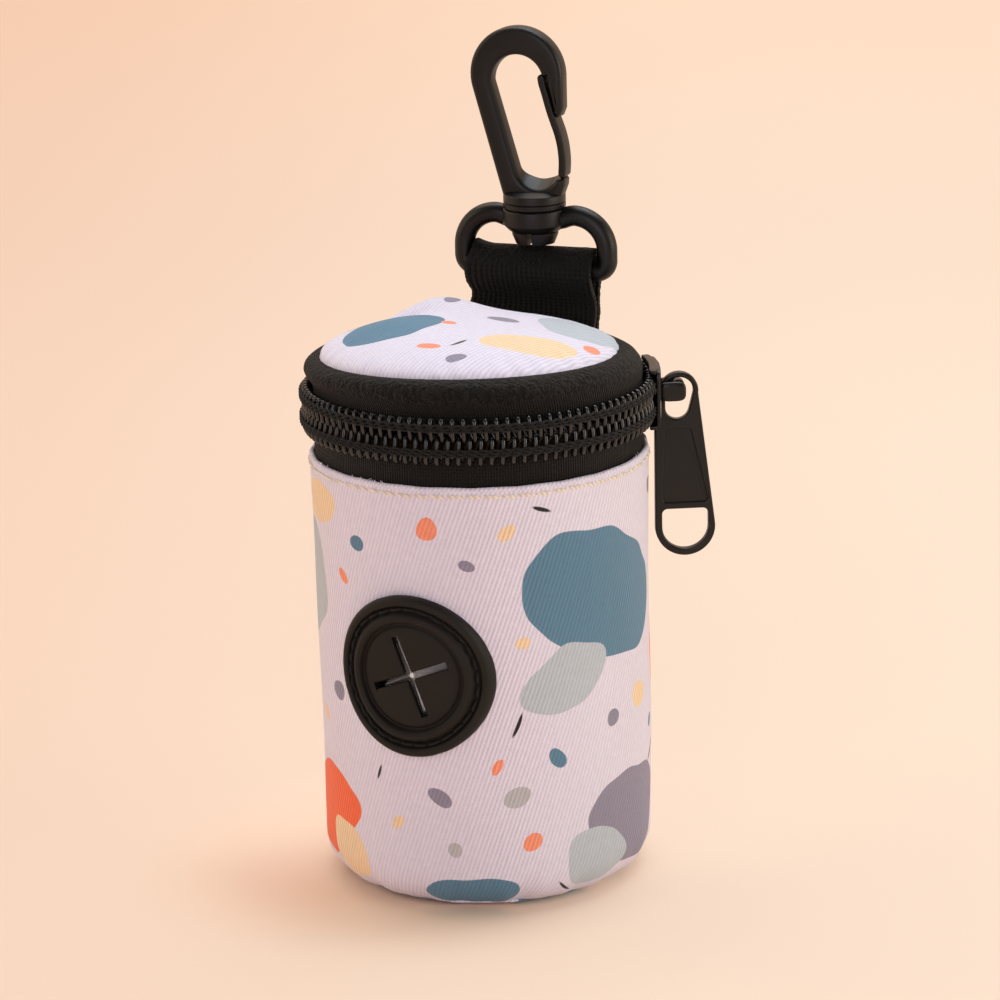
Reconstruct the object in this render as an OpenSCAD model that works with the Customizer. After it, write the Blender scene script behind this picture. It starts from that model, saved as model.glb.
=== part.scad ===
// Dog poop bag dispenser: a soft round zipped pouch with a padded side, a rubber outlet
// and a domed lid that hangs from a webbing strap, a D ring and a swivel snap hook.
// Millimetres. The origin is the middle of the base on the floor, +Z is up, the outlet
// faces -Y and the lid's hinge and the strap are at +Y.

/* [Pouch] */
// Outside diameter of the pouch at its hem
pouch_d = 48; // [44:1:60]
// Height of the printed side, from the floor to the hem
side_h = 62.2; // [52:0.1:90]
// How much smaller the radius is just above the base corner
side_taper = 0.7; // [0:0.1:2]
// Radius of the soft corner round the base
corner_r = 6.5; // [5:0.5:9]
// Angle below level at which the side meets the base in the corner
seam_angle = 61; // [45:1:75]

/* [Plies] */
// Thickness of the printed twill
twill_t = 0.6; // [0.4:0.1:1]
// Thickness of the foam between the twill and the lining
foam_t = 2; // [1.5:0.1:3]
// Thickness of the lining
lining_t = 0.4; // [0.2:0.1:0.6]
// Gap between one ply and the next
ply_gap = 0.05; // [0.02:0.01:0.1]
// Thickness of the seam binding inside
binding_t = 1.1; // [0.8:0.1:1.4]
// Diameter of the sewing thread
thread_d = 0.32; // [0.2:0.02:0.5]

/* [Outlet] */
// Height of the outlet's middle above the floor
outlet_z = 35; // [28:0.5:45]
// Turn of the outlet about the pouch's axis, from -Y towards -X
outlet_turn = 4.5; // [0:0.5:15]
// Diameter of the rubber outlet
outlet_d = 23.2; // [20:0.1:28]
// Thickness of the rubber outlet at its rim
outlet_t = 1.5; // [1.2:0.1:2.5]
// Diameter of the sunk middle of the outlet
outlet_disc_d = 15.2; // [12:0.1:18]
// Depth of the sunk middle and of the stitch groove
outlet_sink = 0.6; // [0.3:0.1:0.8]
// Diameter of the stitch line round the outlet
outlet_stitch_d = 19.6; // [17:0.1:26]
// Width of the stitch groove
outlet_groove_w = 0.9; // [0.6:0.1:1.4]
// Diameter of the hole through the side behind the outlet
outlet_hole_d = 16; // [13:0.5:18]
// Length of each slit of the cross
slit_l = 12; // [8:0.5:14]
// Width of a slit
slit_w = 1; // [0.6:0.1:1.5]
// Turn of the cross from upright, to the left
slit_turn = 22; // [0:1:45]

/* [Zipper] */
// Height of the chain's middle above the hem
chain_rise = 6.8; // [6.5:0.1:10]
// Width of the closed chain
chain_w = 6; // [5.6:0.1:6.4]
// Depth of the coil
coil_depth = 1.8; // [1.6:0.1:2]
// Diameter of the coil's filament
coil_wire = 0.62; // [0.5:0.01:0.7]
// Curls in one row of the coil
coil_curls = 46; // [30:1:48]
// Thickness of the zipper tape
tape_t = 0.6; // [0.4:0.1:0.8]
// Step in from the twill's outside to the tape's outside
tape_step = 0.8; // [0.75:0.05:1.5]
// Open space between the two tapes' edges under the coil
tape_split = 1.4; // [1.3:0.1:1.8]
// Length of tape sewn in behind the hem
tape_lap = 5; // [3:0.5:8]
// Half the angle at the back that is hinge and not zipper
hinge_half = 30; // [24:1:36]

/* [Lid] */
// Height of the lid's seam above the chain's middle
lid_seam_rise = 8; // [7.5:0.1:10]
// Radius of the lid's seam
lid_seam_r = 21; // [20.5:0.1:22]
// Height of the dome over its seam
dome_h = 5.1; // [4:0.1:9]
// Fullness of the dome, from 0.5, an ellipse, to 1, a parabola
dome_power = 0.6; // [0.5:0.05:1]
// How far the tape bulges out under the lid's seam
tape_bulge = 1; // [0.4:0.1:1.5]

/* [Slider] */
// Turn of the slider from +X towards +Y
slider_turn = 25; // [0:1:40]
// Length of the slider along the chain
slider_l = 11; // [9:0.5:12]
// Height of the slider across the chain
slider_h = 9.3; // [9.2:0.1:10]
// Thickness of the slider's two plates
slider_t = 0.85; // [0.7:0.05:1]
// Gap between the coil and the slider's front plate
slider_gap = 0.15; // [0.1:0.05:0.3]
// Gap between the tape and the slider's back plate
slider_back_gap = 0.4; // [0.35:0.05:0.5]
// How far the slider's lips stand clear of the tape, so that the lid lifts out
lip_gap = 0.95; // [0.8:0.05:1]
// Thickness of the slider's lips
lip_t = 0.8; // [0.6:0.05:0.9]
// Width of the post between the rows
post_w = 1.1; // [0.8:0.1:1.2]
// Extra space that the post opens on each side between the rows
row_spread = 0.75; // [0.7:0.05:0.8]

/* [Pull] */
// Length of the pull from its ring's top to its end
pull_l = 26.9; // [20:0.1:32]
// Outside radius of the pull's ring
pull_ring_r = 2.75; // [2.6:0.05:3]
// Inside radius of the pull's ring
pull_hole_r = 2; // [1.95:0.05:2.1]
// Radius of the pull's rounded end
pull_end_r = 4.3; // [3.8:0.1:5]
// Width of the wall round the finger slot
pull_wall = 1; // [0.8:0.1:1.4]
// Thickness of the pull
pull_t = 1.4; // [1:0.1:1.6]
// Height of the finger slot
slot_h = 5.9; // [5:0.1:7]
// How far the end leans out from under the ring
pull_lean = 1.5; // [1.4:0.1:2]

/* [Strap] */
// Width of the webbing
web_w = 20; // [18:0.5:22]
// Thickness of one ply of webbing
web_t = 1.45; // [1.2:0.05:1.6]
// Gap between the tape at the back and the strap sewn on it
strap_gap = 0.3; // [0.2:0.1:0.5]
// Length of webbing sewn on the back of the lid
strap_root_l = 6; // [4:0.5:7]
// Height of the ring's bar above the strap's bend
bar_rise = 4.6; // [4.4:0.1:6]
// Gap between the ring's bar and the webbing round it
bar_gap = 0.4; // [0.3:0.05:0.6]
// Width of the webbing where it passes through the ring
web_neck_w = 18.6; // [16:0.1:20]

/* [Ring] */
// Diameter of the ring's round section
ring_rod_d = 3; // [2.6:0.1:3.2]
// Gap at each edge of the webbing inside the ring
ring_side_gap = 0.2; // [0.15:0.05:0.4]
// Height of the ring's top bar above its bottom bar
ring_h = 8.05; // [8:0.05:10]
// Radius of the bend at the ring's top corners
ring_top_r = 5; // [4:0.1:5.5]
// Radius of the bend at the ring's bottom corners
ring_low_r = 1.7; // [1.6:0.05:2.2]
// Diameter of the boss that carries the hook
boss_d = 9.3; // [8.5:0.1:10]
// Height of the boss
boss_h = 3.2; // [3.1:0.1:4]
// How far the boss's top is over the middle of the top bar
boss_over = 0.9; // [0.8:0.1:1.4]
// Diameter of the bore through the boss
boss_bore_d = 4; // [3.5:0.1:5]
// Running gap between the hook's pin and the bore
pin_gap = 0.06; // [0.03:0.01:0.1]

/* [Hook] */
// Width of the hook
hook_w = 14.1; // [13:0.1:16]
// Height of the hook over the boss
hook_h = 26.5; // [24:0.1:30]
// Thickness of the hook's flat body
hook_t = 3.2; // [2.8:0.1:4]
// Height of the collar on the boss
collar_h = 2.2; // [1.8:0.1:3]
// Width of the hook's arms
arm_w = 3.1; // [2.6:0.1:3.4]
// How far the eye leans to the left of the pin
hook_lean = 2.05; // [1:0.05:3]
// Thickness of the gate
gate_t = 1.1; // [0.9:0.05:1.2]
// Largest radius of the barbs under the boss
barb_r = 3; // [2.6:0.1:3.2]
// Length of the barbs
barb_h = 1.9; // [1.6:0.1:2]
// Width of the split between the barbs
barb_split = 0.8; // [0.6:0.1:1]

/* [Roll] */
// Diameter of a full roll of bags
roll_d = 32; // [28:1:33]
// Length of the roll
roll_l = 58; // [40:1:58]
// Outside diameter of the paper core
core_d = 14; // [12:0.5:16]
// Wall of the paper core
core_t = 1.25; // [0.8:0.05:2]
// Gap under the roll
roll_gap = 0.15; // [0.1:0.05:0.3]

/* [Hidden] */
$fn = 96;

// Room added to a cut so that it passes right through
through = 1;
// Clearance between flat ends that lie beside each other
end_gap = 0.15;

// The pouch's plies, as depths in from the outside
pouch_r = pouch_d / 2;
low_r = pouch_r - side_taper;
corner_c = [low_r - corner_r, corner_r];
foam_in = twill_t + ply_gap;
lining_in = foam_in + foam_t + ply_gap;
inside = lining_in + lining_t;
seam_split = 1.5;
hem_fold = 1;

// The zipper's radii and heights
tape_r = pouch_r - tape_step;
tape_in_r = tape_r - tape_t;
coil_lift = 0.1;
coil_in_r = tape_r + coil_lift;
coil_out_r = coil_in_r + coil_depth;
chain_z = side_h + chain_rise;
row_gap = 0.3;
row_w = (chain_w - row_gap) / 2;
lid_seam_z = chain_z + lid_seam_rise;
lid_ply_r = lid_seam_r - 0.6;
lid_binding_t = 0.8;
binding_h = 2.2;
// Angle left between the hinge and the zipper's end
hinge_step = 0.4;
zip_start = 90 + hinge_half;
zip_angle = 360 - 2 * hinge_half;

// The slider, drawn over +X and then turned
plate_in_r = coil_out_r + slider_gap;
plate_out_r = plate_in_r + slider_t;
back_out_r = tape_in_r - slider_back_gap;
back_in_r = back_out_r - slider_t;
slider_half = asin(slider_l / 2 / plate_out_r);
groove_r = plate_out_r - slider_t * 0.6;
post_turn = slider_half * 0.68;
post_half = 2.2;
spread_half = 15;

// The bail and the pull, in a plane that passes through the pouch's axis
pull_gap = 0.15;
pull_c = [groove_r + pull_gap + pull_ring_r, chain_z + 0.3];
pull_end_c = [pull_c[0] + pull_lean, pull_c[1] + pull_ring_r - pull_l + pull_end_r];
bail_w = 1.8;
bail_h = 3.2;
bail_leg = 1.1;
bail_slot = pull_t / 2 + 0.25;
pull_tear_c = [pull_c[0] - 0.2, pull_c[1] - 2.4];
pull_tear_r = pull_hole_r - 0.3;
slot_corner = 0.8;
panel_sink = 0.25;
panel_top = pull_tear_c[1] - pull_tear_r - pull_wall;
panel_end = pull_end_c[1] - pull_end_r + pull_wall + slot_h + pull_wall;

// The strap, the ring and the hook
strap_y = tape_r + strap_gap + web_t + ply_gap;
web_half = web_t + ply_gap / 2;
strap_in_y = tape_r + strap_gap;
bend_z = chain_z + 8.9;
root_top = bend_z - web_half - 0.3;
bar_z = bend_z + bar_rise;
bar_r = ring_rod_d / 2;
loop_in_r = bar_r + bar_gap;
loop_out_r = loop_in_r + web_t;
loop_end = 35;
ring_half = web_neck_w / 2 + ring_side_gap + bar_r;
top_z = bar_z + ring_h;
boss_top = top_z + boss_over;
boss_low = boss_top - boss_h;
collar_z = boss_top + 0.1;
pin_r = boss_bore_d / 2 - pin_gap;
collar_r = boss_d / 2 - 0.1;
hook_top = boss_top + hook_h;
eye_r = hook_w / 2;
eye_c = [-hook_lean, hook_top - eye_r];
hole_r = eye_r - arm_w;
hole_c = [eye_c[0] + 0.1, eye_c[1] - 0.4];
heel_r = 3.3;
heel_c = [0.95, boss_top + 6.3];
gate_root = [4.7, boss_top + 5.35];
gate_joint_gap = 0.2;
gate_span = eye_c[1] - 0.3 - gate_root[1];
gate_reach = gate_root[0] - eye_c[0] - hole_r + 0.05;
nose_l = 0.4275 * gate_span;

// The roll
roll_z = inside + roll_gap;

function reverse(list) = [for (i = [len(list) - 1:-1:0]) list[i]];

// Points on an arc from angle a0 to angle a1 in n steps
function arc(c, r, a0, a1, n = 12) =
    [for (i = [0:n]) let (a = a0 + (a1 - a0) * i / n) c + r * [cos(a), sin(a)]];

// Outside radius of the printed side at height z
function side_r(z) = pouch_r - side_taper * (side_h - z) / (side_h - corner_r);

// The side's outline at a depth d in from the outside, from height top down to the seam
function side_line(d, top, bottom_angle) =
    concat([[side_r(top) - d, top]], arc(corner_c, corner_r - d, 0, -bottom_angle));

// The base's outline at a depth d, from the seam to the axis
function base_line(d) = concat(arc(corner_c, corner_r - d, -seam_angle - seam_split, -90, 6), [[0, d]]);

// Unit normal of a path at point i, on the right of its direction
function path_normal(path, i) =
    let (v = path[min(i + 1, len(path) - 1)] - path[max(i - 1, 0)]) [v[1], -v[0]] / norm(v);

function shift_path(path, d) = [for (i = [0:len(path) - 1]) path[i] + d * path_normal(path, i)];

// A ply of thickness t with the path along its middle
function ply(path, t) = concat(shift_path(path, t / 2), reverse(shift_path(path, -t / 2)));

// Height of the dome's outside at radius r
function dome_z(r) = lid_seam_z + dome_h * pow(max(0, 1 - pow(r / lid_seam_r, 2)), dome_power);

// The dome's outline at a depth d below its outside, out to a radius r_end
function dome_line(d, r_end, n = 14) =
    [for (i = [0:n]) let (r = r_end * sin(90 * i / n)) [r, dome_z(r) - d]];

// Outline of a belt round two circles, the first one on top
function belt(c1, r1, c2, r2) =
    let (v = c2 - c1, turn = atan2(v[1], v[0]), lean = acos((r1 - r2) / norm(v)))
    concat(arc(c1, r1, turn + lean, turn + 360 - lean, 20), arc(c2, r2, turn - lean, turn + lean, 20));

// Half height of the space opened between the rows near the slider's post
function spread(a) =
    let (off = abs(a - (slider_turn + post_turn)))
    off < spread_half ? row_spread * pow(cos(90 * off / spread_half), 1.2) : 0;

// Middle line of a coil row at u curls from its start; side is 1 above and -1 below the chain
function coil_angle(u) = zip_start + 1 + (zip_angle - 2) * u / coil_curls;
function coil_point(u, side) =
    let (a = coil_angle(u), turn = 360 * u,
         r = (coil_in_r + coil_out_r) / 2 + (coil_depth - coil_wire) / 2 * cos(turn),
         z = row_z(u, side) + side * (row_w - coil_wire) / 2 * sin(turn))
    [r * cos(a), r * sin(a), z];
function coil_core(u) =
    let (a = coil_angle(u)) (coil_in_r + coil_out_r) / 2 * [cos(a), sin(a), 0];
function row_z(u, side) =
    let (a = coil_angle(u)) chain_z + side * (row_gap / 2 + row_w / 2 + spread(a > 360 ? a - 360 : a));

// The row's path with a short straight run at each end
function with_ends(mid) =
    let (a0 = coil_angle(0), a1 = coil_angle(coil_curls))
    concat([mid[0] + coil_wire * [sin(a0), -cos(a0), 0]], mid,
           [mid[len(mid) - 1] + coil_wire * [-sin(a1), cos(a1), 0]]);
function coil_path(side) = with_ends([for (i = [0:coil_curls * 8]) coil_point(i / 8, side)]);
function coil_cores(side) =
    with_ends([for (i = [0:coil_curls * 8]) coil_core(i / 8) + [0, 0, row_z(i / 8, side)]]);

// Least clear space between a curl and the next ones of the same row
function least_gap(path) =
    min([for (i = [0:len(path) - 6]) for (j = [i + 5:min(i + 12, len(path) - 1)])
         norm(path[i] - path[j]) - coil_wire]);

// A six-sided tube along a path that winds round a core, as points ring by ring
function tube_frame(path, cores, i) =
    let (t = path[min(i + 1, len(path) - 1)] - path[max(i - 1, 0)],
         t1 = t / norm(t),
         out = path[i] - cores[i],
         n = out - (out * t1) * t1)
    [n / norm(n), cross(t1, n / norm(n))];
function tube_points(path, cores, r) =
    [for (i = [0:len(path) - 1]) let (f = tube_frame(path, cores, i))
         for (k = [0:5]) path[i] + r * (cos(60 * k) * f[0] + sin(60 * k) * f[1])];
function tube_faces(n) =
    concat([for (i = [0:n - 2]) for (k = [0:5])
                let (a = 6 * i + k, b = 6 * i + (k + 1) % 6) each [[a, b, b + 6], [a, b + 6, a + 6]]],
           [for (k = [1:4]) [0, k + 1, k]],
           [for (k = [1:4]) [6 * n - 6, 6 * n - 6 + k, 6 * n - 5 + k]]);

module revolve(points, start = 0, angle = 360) {
    rotate_extrude(start = start, angle = angle) polygon(points);
}

// A rectangle from r0 to r1 and z0 to z1, turned about the pouch's axis
module band(r0, r1, z0, z1, start = 0, angle = 360) {
    revolve([[r0, z0], [r1, z0], [r1, z1], [r0, z1]], start, angle);
}

// A rod out from the pouch's axis through the outlet's middle
module outlet_rod(r, from = 0) {
    rotate([0, 0, -outlet_turn]) translate([0, -from, outlet_z]) rotate([90, 0, 0])
        cylinder(r = r, h = pouch_r + 6 - from);
}

// A shell round the side from a depth d0 outside it to a depth d1 outside it, near the outlet
module outlet_shell(d0, d1) {
    z0 = outlet_z - outlet_d / 2 - through;
    z1 = outlet_z + outlet_d / 2 + through;
    revolve([[side_r(z0) + d0, z0], [side_r(z0) + d1, z0], [side_r(z1) + d1, z1], [side_r(z1) + d0, z1]]);
}

// A flat plate cut to an outline in X and Z, t thick about a given Y
module upright(points, t, y) {
    translate([0, y + t / 2, 0]) rotate([90, 0, 0]) linear_extrude(t) polygon(points);
}

module side_panel() {
    color("mistyrose")
    difference() {
        revolve(concat(side_line(0, side_h, seam_angle), reverse(side_line(twill_t, side_h, seam_angle))));
        outlet_rod(outlet_hole_d / 2);
    }
}

module side_foam() {
    step_z = side_h - tape_lap - end_gap;
    color("whitesmoke")
    difference() {
        revolve(concat([[tape_in_r - ply_gap, side_h - hem_fold], [tape_in_r - ply_gap, step_z]],
                       side_line(foam_in, step_z, seam_angle),
                       reverse(side_line(foam_in + foam_t, side_h - hem_fold, seam_angle))));
        outlet_rod(outlet_hole_d / 2);
    }
}

module side_lining() {
    top = side_h - hem_fold / 2;
    color("dimgray")
    difference() {
        revolve(concat(side_line(lining_in, top, seam_angle), reverse(side_line(inside, top, seam_angle))));
        outlet_rod(outlet_hole_d / 2);
    }
}

module base_panel() {
    color("mistyrose") revolve(concat(base_line(0), reverse(base_line(twill_t))));
}

module base_board() {
    color("lightgray") revolve(concat(base_line(foam_in), reverse(base_line(foam_in + foam_t))));
}

module base_lining() {
    color("dimgray") revolve(concat(base_line(lining_in), reverse(base_line(inside))));
}

// A bound seam that runs round the inside of the base corner
module base_binding() {
    r = corner_r - inside - ply_gap;
    color("black")
    revolve(concat(arc(corner_c, r, -seam_angle + 20, -seam_angle - 20, 6),
                   arc(corner_c, r - binding_t, -seam_angle - 20, -seam_angle + 20, 6)));
}

module hem_thread() {
    z = side_h - 1.2;
    color("wheat")
    rotate_extrude() translate([side_r(z) + thread_d / 2 + ply_gap, z]) circle(d = thread_d, $fn = 16);
}

module lower_tape() {
    color("#1A1714")
    band(tape_in_r, tape_r, side_h - tape_lap, chain_z - tape_split / 2, zip_start, zip_angle);
}

module lower_coil() {
    path = coil_path(-1);
    cores = coil_cores(-1);
    echo("least gap of the lower coil to itself", least_gap(path));
    color("#1F1C1A") polyhedron(tube_points(path, cores, coil_wire / 2), tube_faces(len(path)));
}

// Folded webbing at the back that covers the zipper's ends and bends as the hinge
module lower_hinge() {
    color("#1A1714")
    band(tape_in_r, tape_r, side_h - tape_lap, chain_z - row_gap / 2,
         90 - hinge_half + hinge_step, 2 * (hinge_half - hinge_step));
}

module outlet_patch() {
    groove_r0 = outlet_stitch_d / 2 - outlet_groove_w / 2;
    color("#2B2723")
    difference() {
        intersection() {
            outlet_shell(ply_gap, outlet_t);
            outlet_rod(outlet_d / 2, pouch_r / 2);
        }
        intersection() {
            outlet_shell(outlet_t - outlet_sink, outlet_t + 3);
            outlet_rod(outlet_disc_d / 2, pouch_r / 2);
        }
        intersection() {
            outlet_shell(outlet_t - outlet_sink, outlet_t + 3);
            difference() {
                outlet_rod(groove_r0 + outlet_groove_w, pouch_r / 2);
                outlet_rod(groove_r0, pouch_r / 2 - through);
            }
        }
        rotate([0, 0, -outlet_turn]) translate([0, -pouch_r, outlet_z]) rotate([0, -slit_turn, 0]) {
            cube([slit_w, 12, slit_l], center = true);
            cube([slit_l, 12, slit_w], center = true);
        }
    }
}

module outlet_thread() {
    d0 = outlet_t - outlet_sink + ply_gap;
    color("black")
    intersection() {
        outlet_shell(d0, d0 + thread_d);
        difference() {
            outlet_rod(outlet_stitch_d / 2 + thread_d / 2, pouch_r / 2);
            outlet_rod(outlet_stitch_d / 2 - thread_d / 2, pouch_r / 2 - through);
        }
    }
}

module lid_panel() {
    color("mistyrose")
    revolve(concat(dome_line(0, lid_seam_r), reverse(dome_line(twill_t, lid_seam_r))));
}

module lid_foam() {
    color("whitesmoke")
    revolve(concat(dome_line(foam_in, lid_ply_r), reverse(dome_line(foam_in + foam_t, lid_ply_r))));
}

module lid_lining() {
    color("dimgray")
    revolve(concat(dome_line(lining_in, lid_ply_r), reverse(dome_line(inside, lid_ply_r))));
}

// A bound seam that hangs down inside, under the lid's edge
module lid_binding() {
    top = lid_seam_z - twill_t - end_gap;
    color("black") band(lid_ply_r + ply_gap, lid_ply_r + ply_gap + lid_binding_t, top - binding_h, top);
}

function tape_mid(bulge) =
    [[tape_r - tape_t / 2, chain_z + tape_split / 2], [tape_r - tape_t / 2, chain_z + 4.9],
     [tape_r + bulge * 0.35, chain_z + 5.7], [tape_r + bulge * 0.8, chain_z + 6.5],
     [tape_r + bulge * 0.7, chain_z + 7.4], [tape_r - 0.2, lid_seam_z + 0.2],
     [tape_r - 1.1, lid_seam_z + 0.3], [lid_seam_r + 0.1, lid_seam_z]];

module upper_tape() {
    color("#1A1714") revolve(ply(tape_mid(tape_bulge), tape_t), zip_start, zip_angle);
}

module upper_coil() {
    path = coil_path(1);
    cores = coil_cores(1);
    echo("least gap of the upper coil to itself", least_gap(path));
    color("#1F1C1A") polyhedron(tube_points(path, cores, coil_wire / 2), tube_faces(len(path)));
}

module upper_hinge() {
    mid = [[tape_r - tape_t / 2, chain_z + row_gap / 2], [tape_r - tape_t / 2, lid_seam_z - 1],
           [tape_r - 0.8, lid_seam_z], [lid_seam_r + 0.1, lid_seam_z]];
    color("#1A1714") revolve(ply(mid, tape_t), 90 - hinge_half + hinge_step, 2 * (hinge_half - hinge_step));
}

// Two plies of webbing sewn flat on the back of the lid
module strap_root() {
    color("#0B0A09")
    for (y = [strap_in_y, strap_in_y + web_t + ply_gap])
        translate([-web_w / 2, y, root_top - strap_root_l]) cube([web_w, web_t, strap_root_l]);
}

module root_thread() {
    y = strap_in_y + 2 * web_t + 2 * ply_gap;
    color("black")
    for (z = [root_top - 1.2, root_top - strap_root_l + 1.2])
        translate([-web_w / 2 + 1.2, y, z - thread_d / 2]) cube([web_w - 2.4, thread_d, thread_d]);
}

// Outline in Y and Z of the webbing round the ring's bar, down to its bend
function loop_outside() =
    concat(arc([0, bar_z], loop_out_r, -loop_end, 180 + loop_end, 24),
           arc([0, bend_z], web_half, 180, 360, 12));

// Half the strap's thickness at height z, between its bend and the ring's bar
function loop_half(z) =
    let (wide = loop_out_r * cos(loop_end), rise = bar_rise - loop_out_r * sin(loop_end))
    web_half + (wide - web_half) * (z - bend_z) / rise;
function loop_inside() =
    concat(arc([0, bar_z], loop_in_r, -loop_end, 180 + loop_end, 20), [[0, bar_z - loop_in_r - 1.1]]);

module strap_loop() {
    color("#0B0A09")
    translate([-web_neck_w / 2, strap_y, 0]) rotate([90, 0, 90]) difference() {
        linear_extrude(web_neck_w) polygon(loop_outside());
        translate([0, 0, -through]) linear_extrude(web_neck_w + 2 * through) polygon(loop_inside());
    }
}

// A sewn line across each face of the strap, under the ring's bar
module strap_thread() {
    z = bend_z + 1.4;
    out = loop_half(z + thread_d) + ply_gap;
    color("black")
    for (y = [strap_y - out - thread_d, strap_y + out])
        translate([-web_neck_w / 2 + 1.2, y, z]) cube([web_neck_w - 2.4, thread_d, thread_d]);
}

// One bend of the ring's rod, in the upright plane of the ring
module rod_bend(c, r, start) {
    translate([c[0], strap_y, c[1]]) rotate([90, 0, 0])
        rotate_extrude(start = start, angle = 90) translate([r, 0]) circle(r = bar_r);
}

module rod_along(from, length) {
    translate([from[0], strap_y, from[1]]) rotate([0, 90, 0]) cylinder(r = bar_r, h = length);
}

module rod_up(x, z0, z1) {
    translate([x, strap_y, z0]) cylinder(r = bar_r, h = z1 - z0);
}

module d_ring() {
    low_x = ring_half - ring_low_r;
    top_x = ring_half - ring_top_r;
    color("#1C1613")
    difference() {
        union() {
            rod_along([-low_x, bar_z], 2 * low_x);
            rod_bend([low_x, bar_z + ring_low_r], ring_low_r, 270);
            rod_bend([-low_x, bar_z + ring_low_r], ring_low_r, 180);
            for (x = [-ring_half, ring_half])
                rod_up(x, bar_z + ring_low_r, top_z - ring_top_r);
            rod_bend([top_x, top_z - ring_top_r], ring_top_r, 0);
            rod_bend([-top_x, top_z - ring_top_r], ring_top_r, 90);
            rod_along([-top_x, top_z], 2 * top_x);
            translate([0, strap_y, 0])
                revolve([[0, boss_low], [boss_d / 2 - 0.8, boss_low], [boss_d / 2, boss_low + 0.8],
                         [boss_d / 2, boss_top], [0, boss_top]]);
        }
        translate([0, strap_y, boss_low - through]) cylinder(d = boss_bore_d, h = boss_h + 2 * through);
        translate([0, strap_y, boss_top]) cylinder(r = collar_r + 0.15, h = ring_rod_d);
    }
}

// The hook's flat outline: up the back of the arm, round the eye to the nose, and back inside
function hook_outline() =
    concat([[-collar_r, collar_z + collar_h - 0.4], [-collar_r - 0.2, collar_z + collar_h + 1]],
           arc(eye_c, eye_r, 195, 0, 24),
           [[eye_c[0] + eye_r, eye_c[1] - 0.78 * nose_l], [eye_c[0] + eye_r - 0.5, eye_c[1] - nose_l],
            [eye_c[0] + eye_r - 1.1, eye_c[1] - nose_l],
            [eye_c[0] + hole_r + 0.85, eye_c[1] - 0.22 * nose_l], [eye_c[0] + hole_r + 0.7, eye_c[1]]],
           arc(hole_c, hole_r, 12, 180, 20),
           arc(heel_c, heel_r, 190, 325, 14),
           [[gate_root[0] - gate_t / 2 - 0.1, gate_root[1] - gate_t / 2 - gate_joint_gap],
            [gate_root[0] + gate_t / 2, gate_root[1] - gate_t / 2 - gate_joint_gap],
            [collar_r, collar_z + collar_h - 0.4]]);

module swivel_hook() {
    barb_top = boss_low - 0.1;
    color("#1C1613")
    difference() {
        union() {
            upright(hook_outline(), hook_t, strap_y);
            translate([0, strap_y, 0])
                revolve([[0, barb_top - barb_h], [barb_r - 0.8, barb_top - barb_h],
                         [barb_r, barb_top - 0.4], [barb_r, barb_top],
                         [pin_r, barb_top], [pin_r, collar_z], [collar_r, collar_z],
                         [collar_r, collar_z + collar_h], [hook_t / 2, collar_z + collar_h + 1.6],
                         [0, collar_z + collar_h + 1.6]]);
        }
        translate([heel_c[0], strap_y + hook_t * 2, heel_c[1]]) rotate([90, 0, 0])
            cylinder(r = heel_r, h = hook_t * 4);
        translate([-barb_split / 2, strap_y - barb_r - through, barb_top - barb_h - through])
            cube([barb_split, 2 * (barb_r + through), barb_h + through]);
    }
}

// Middle line of the gate from its root to its tip, as shares of its reach and its span
gate_line = [for (p = [[0, 0], [-0.018, 0.116], [0.018, 0.26], [0.158, 0.406], [0.42, 0.522],
                       [0.614, 0.623], [0.79, 0.775], [0.965, 0.913], [1, 1]])
             gate_root + [-gate_reach * p[0], gate_span * p[1]]];

module hook_gate() {
    root = gate_t / 2;
    color("#1C1613")
    upright(concat(arc(gate_root, root, 330, 210, 8), shift_path(gate_line, -root),
                   reverse(shift_path(gate_line, root))), hook_t - 0.4, strap_y);
}

module slider_body() {
    z0 = chain_z - slider_h / 2;
    z1 = chain_z + slider_h / 2;
    lip_r = tape_r + lip_gap;
    color("#231C1B")
    rotate([0, 0, slider_turn]) difference() {
        union() {
            band(back_in_r, back_out_r, z0 + 0.6, z1 - 0.6, -slider_half, 2 * slider_half);
            band(plate_in_r, plate_out_r, z0, z1, -slider_half, 2 * slider_half);
            band(lip_r, plate_in_r, z1 - lip_t, z1, -slider_half, 2 * slider_half);
            band(lip_r, plate_in_r, z0, z0 + lip_t, -slider_half, 2 * slider_half);
            band(back_out_r, plate_in_r, chain_z - post_w / 2, chain_z + post_w / 2,
                 post_turn - post_half, 2 * post_half);
            translate([plate_out_r - 0.4, -bail_slot - bail_leg, pull_c[1] - bail_h / 2])
                cube([pull_c[0] + bail_w / 2 - plate_out_r + 0.4, 2 * (bail_slot + bail_leg), bail_h]);
        }
        translate([groove_r, -bail_slot, z0 - through])
            cube([pull_c[0] - bail_w / 2 - groove_r, 2 * bail_slot, slider_h + 2 * through]);
    }
}

// Outline of the finger slot: flat on top with small corners, round at the end
function finger_slot() =
    let (r = pull_end_r - pull_wall, top = pull_end_c[1] - r + slot_h)
    concat(arc(pull_end_c, r, 180, 360, 20),
           arc([pull_end_c[0] + r - slot_corner, top - slot_corner], slot_corner, 0, 90, 6),
           arc([pull_end_c[0] - r + slot_corner, top - slot_corner], slot_corner, 90, 180, 6));

// The pull's sunk panel between its two holes
function pull_panel() =
    [[pull_c[0] - pull_ring_r + pull_wall, panel_top],
     [pull_end_c[0] - pull_end_r + pull_wall, panel_end],
     [pull_end_c[0] + pull_end_r - pull_wall, panel_end],
     [pull_c[0] + pull_ring_r - pull_wall + 0.4, panel_top]];

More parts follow.
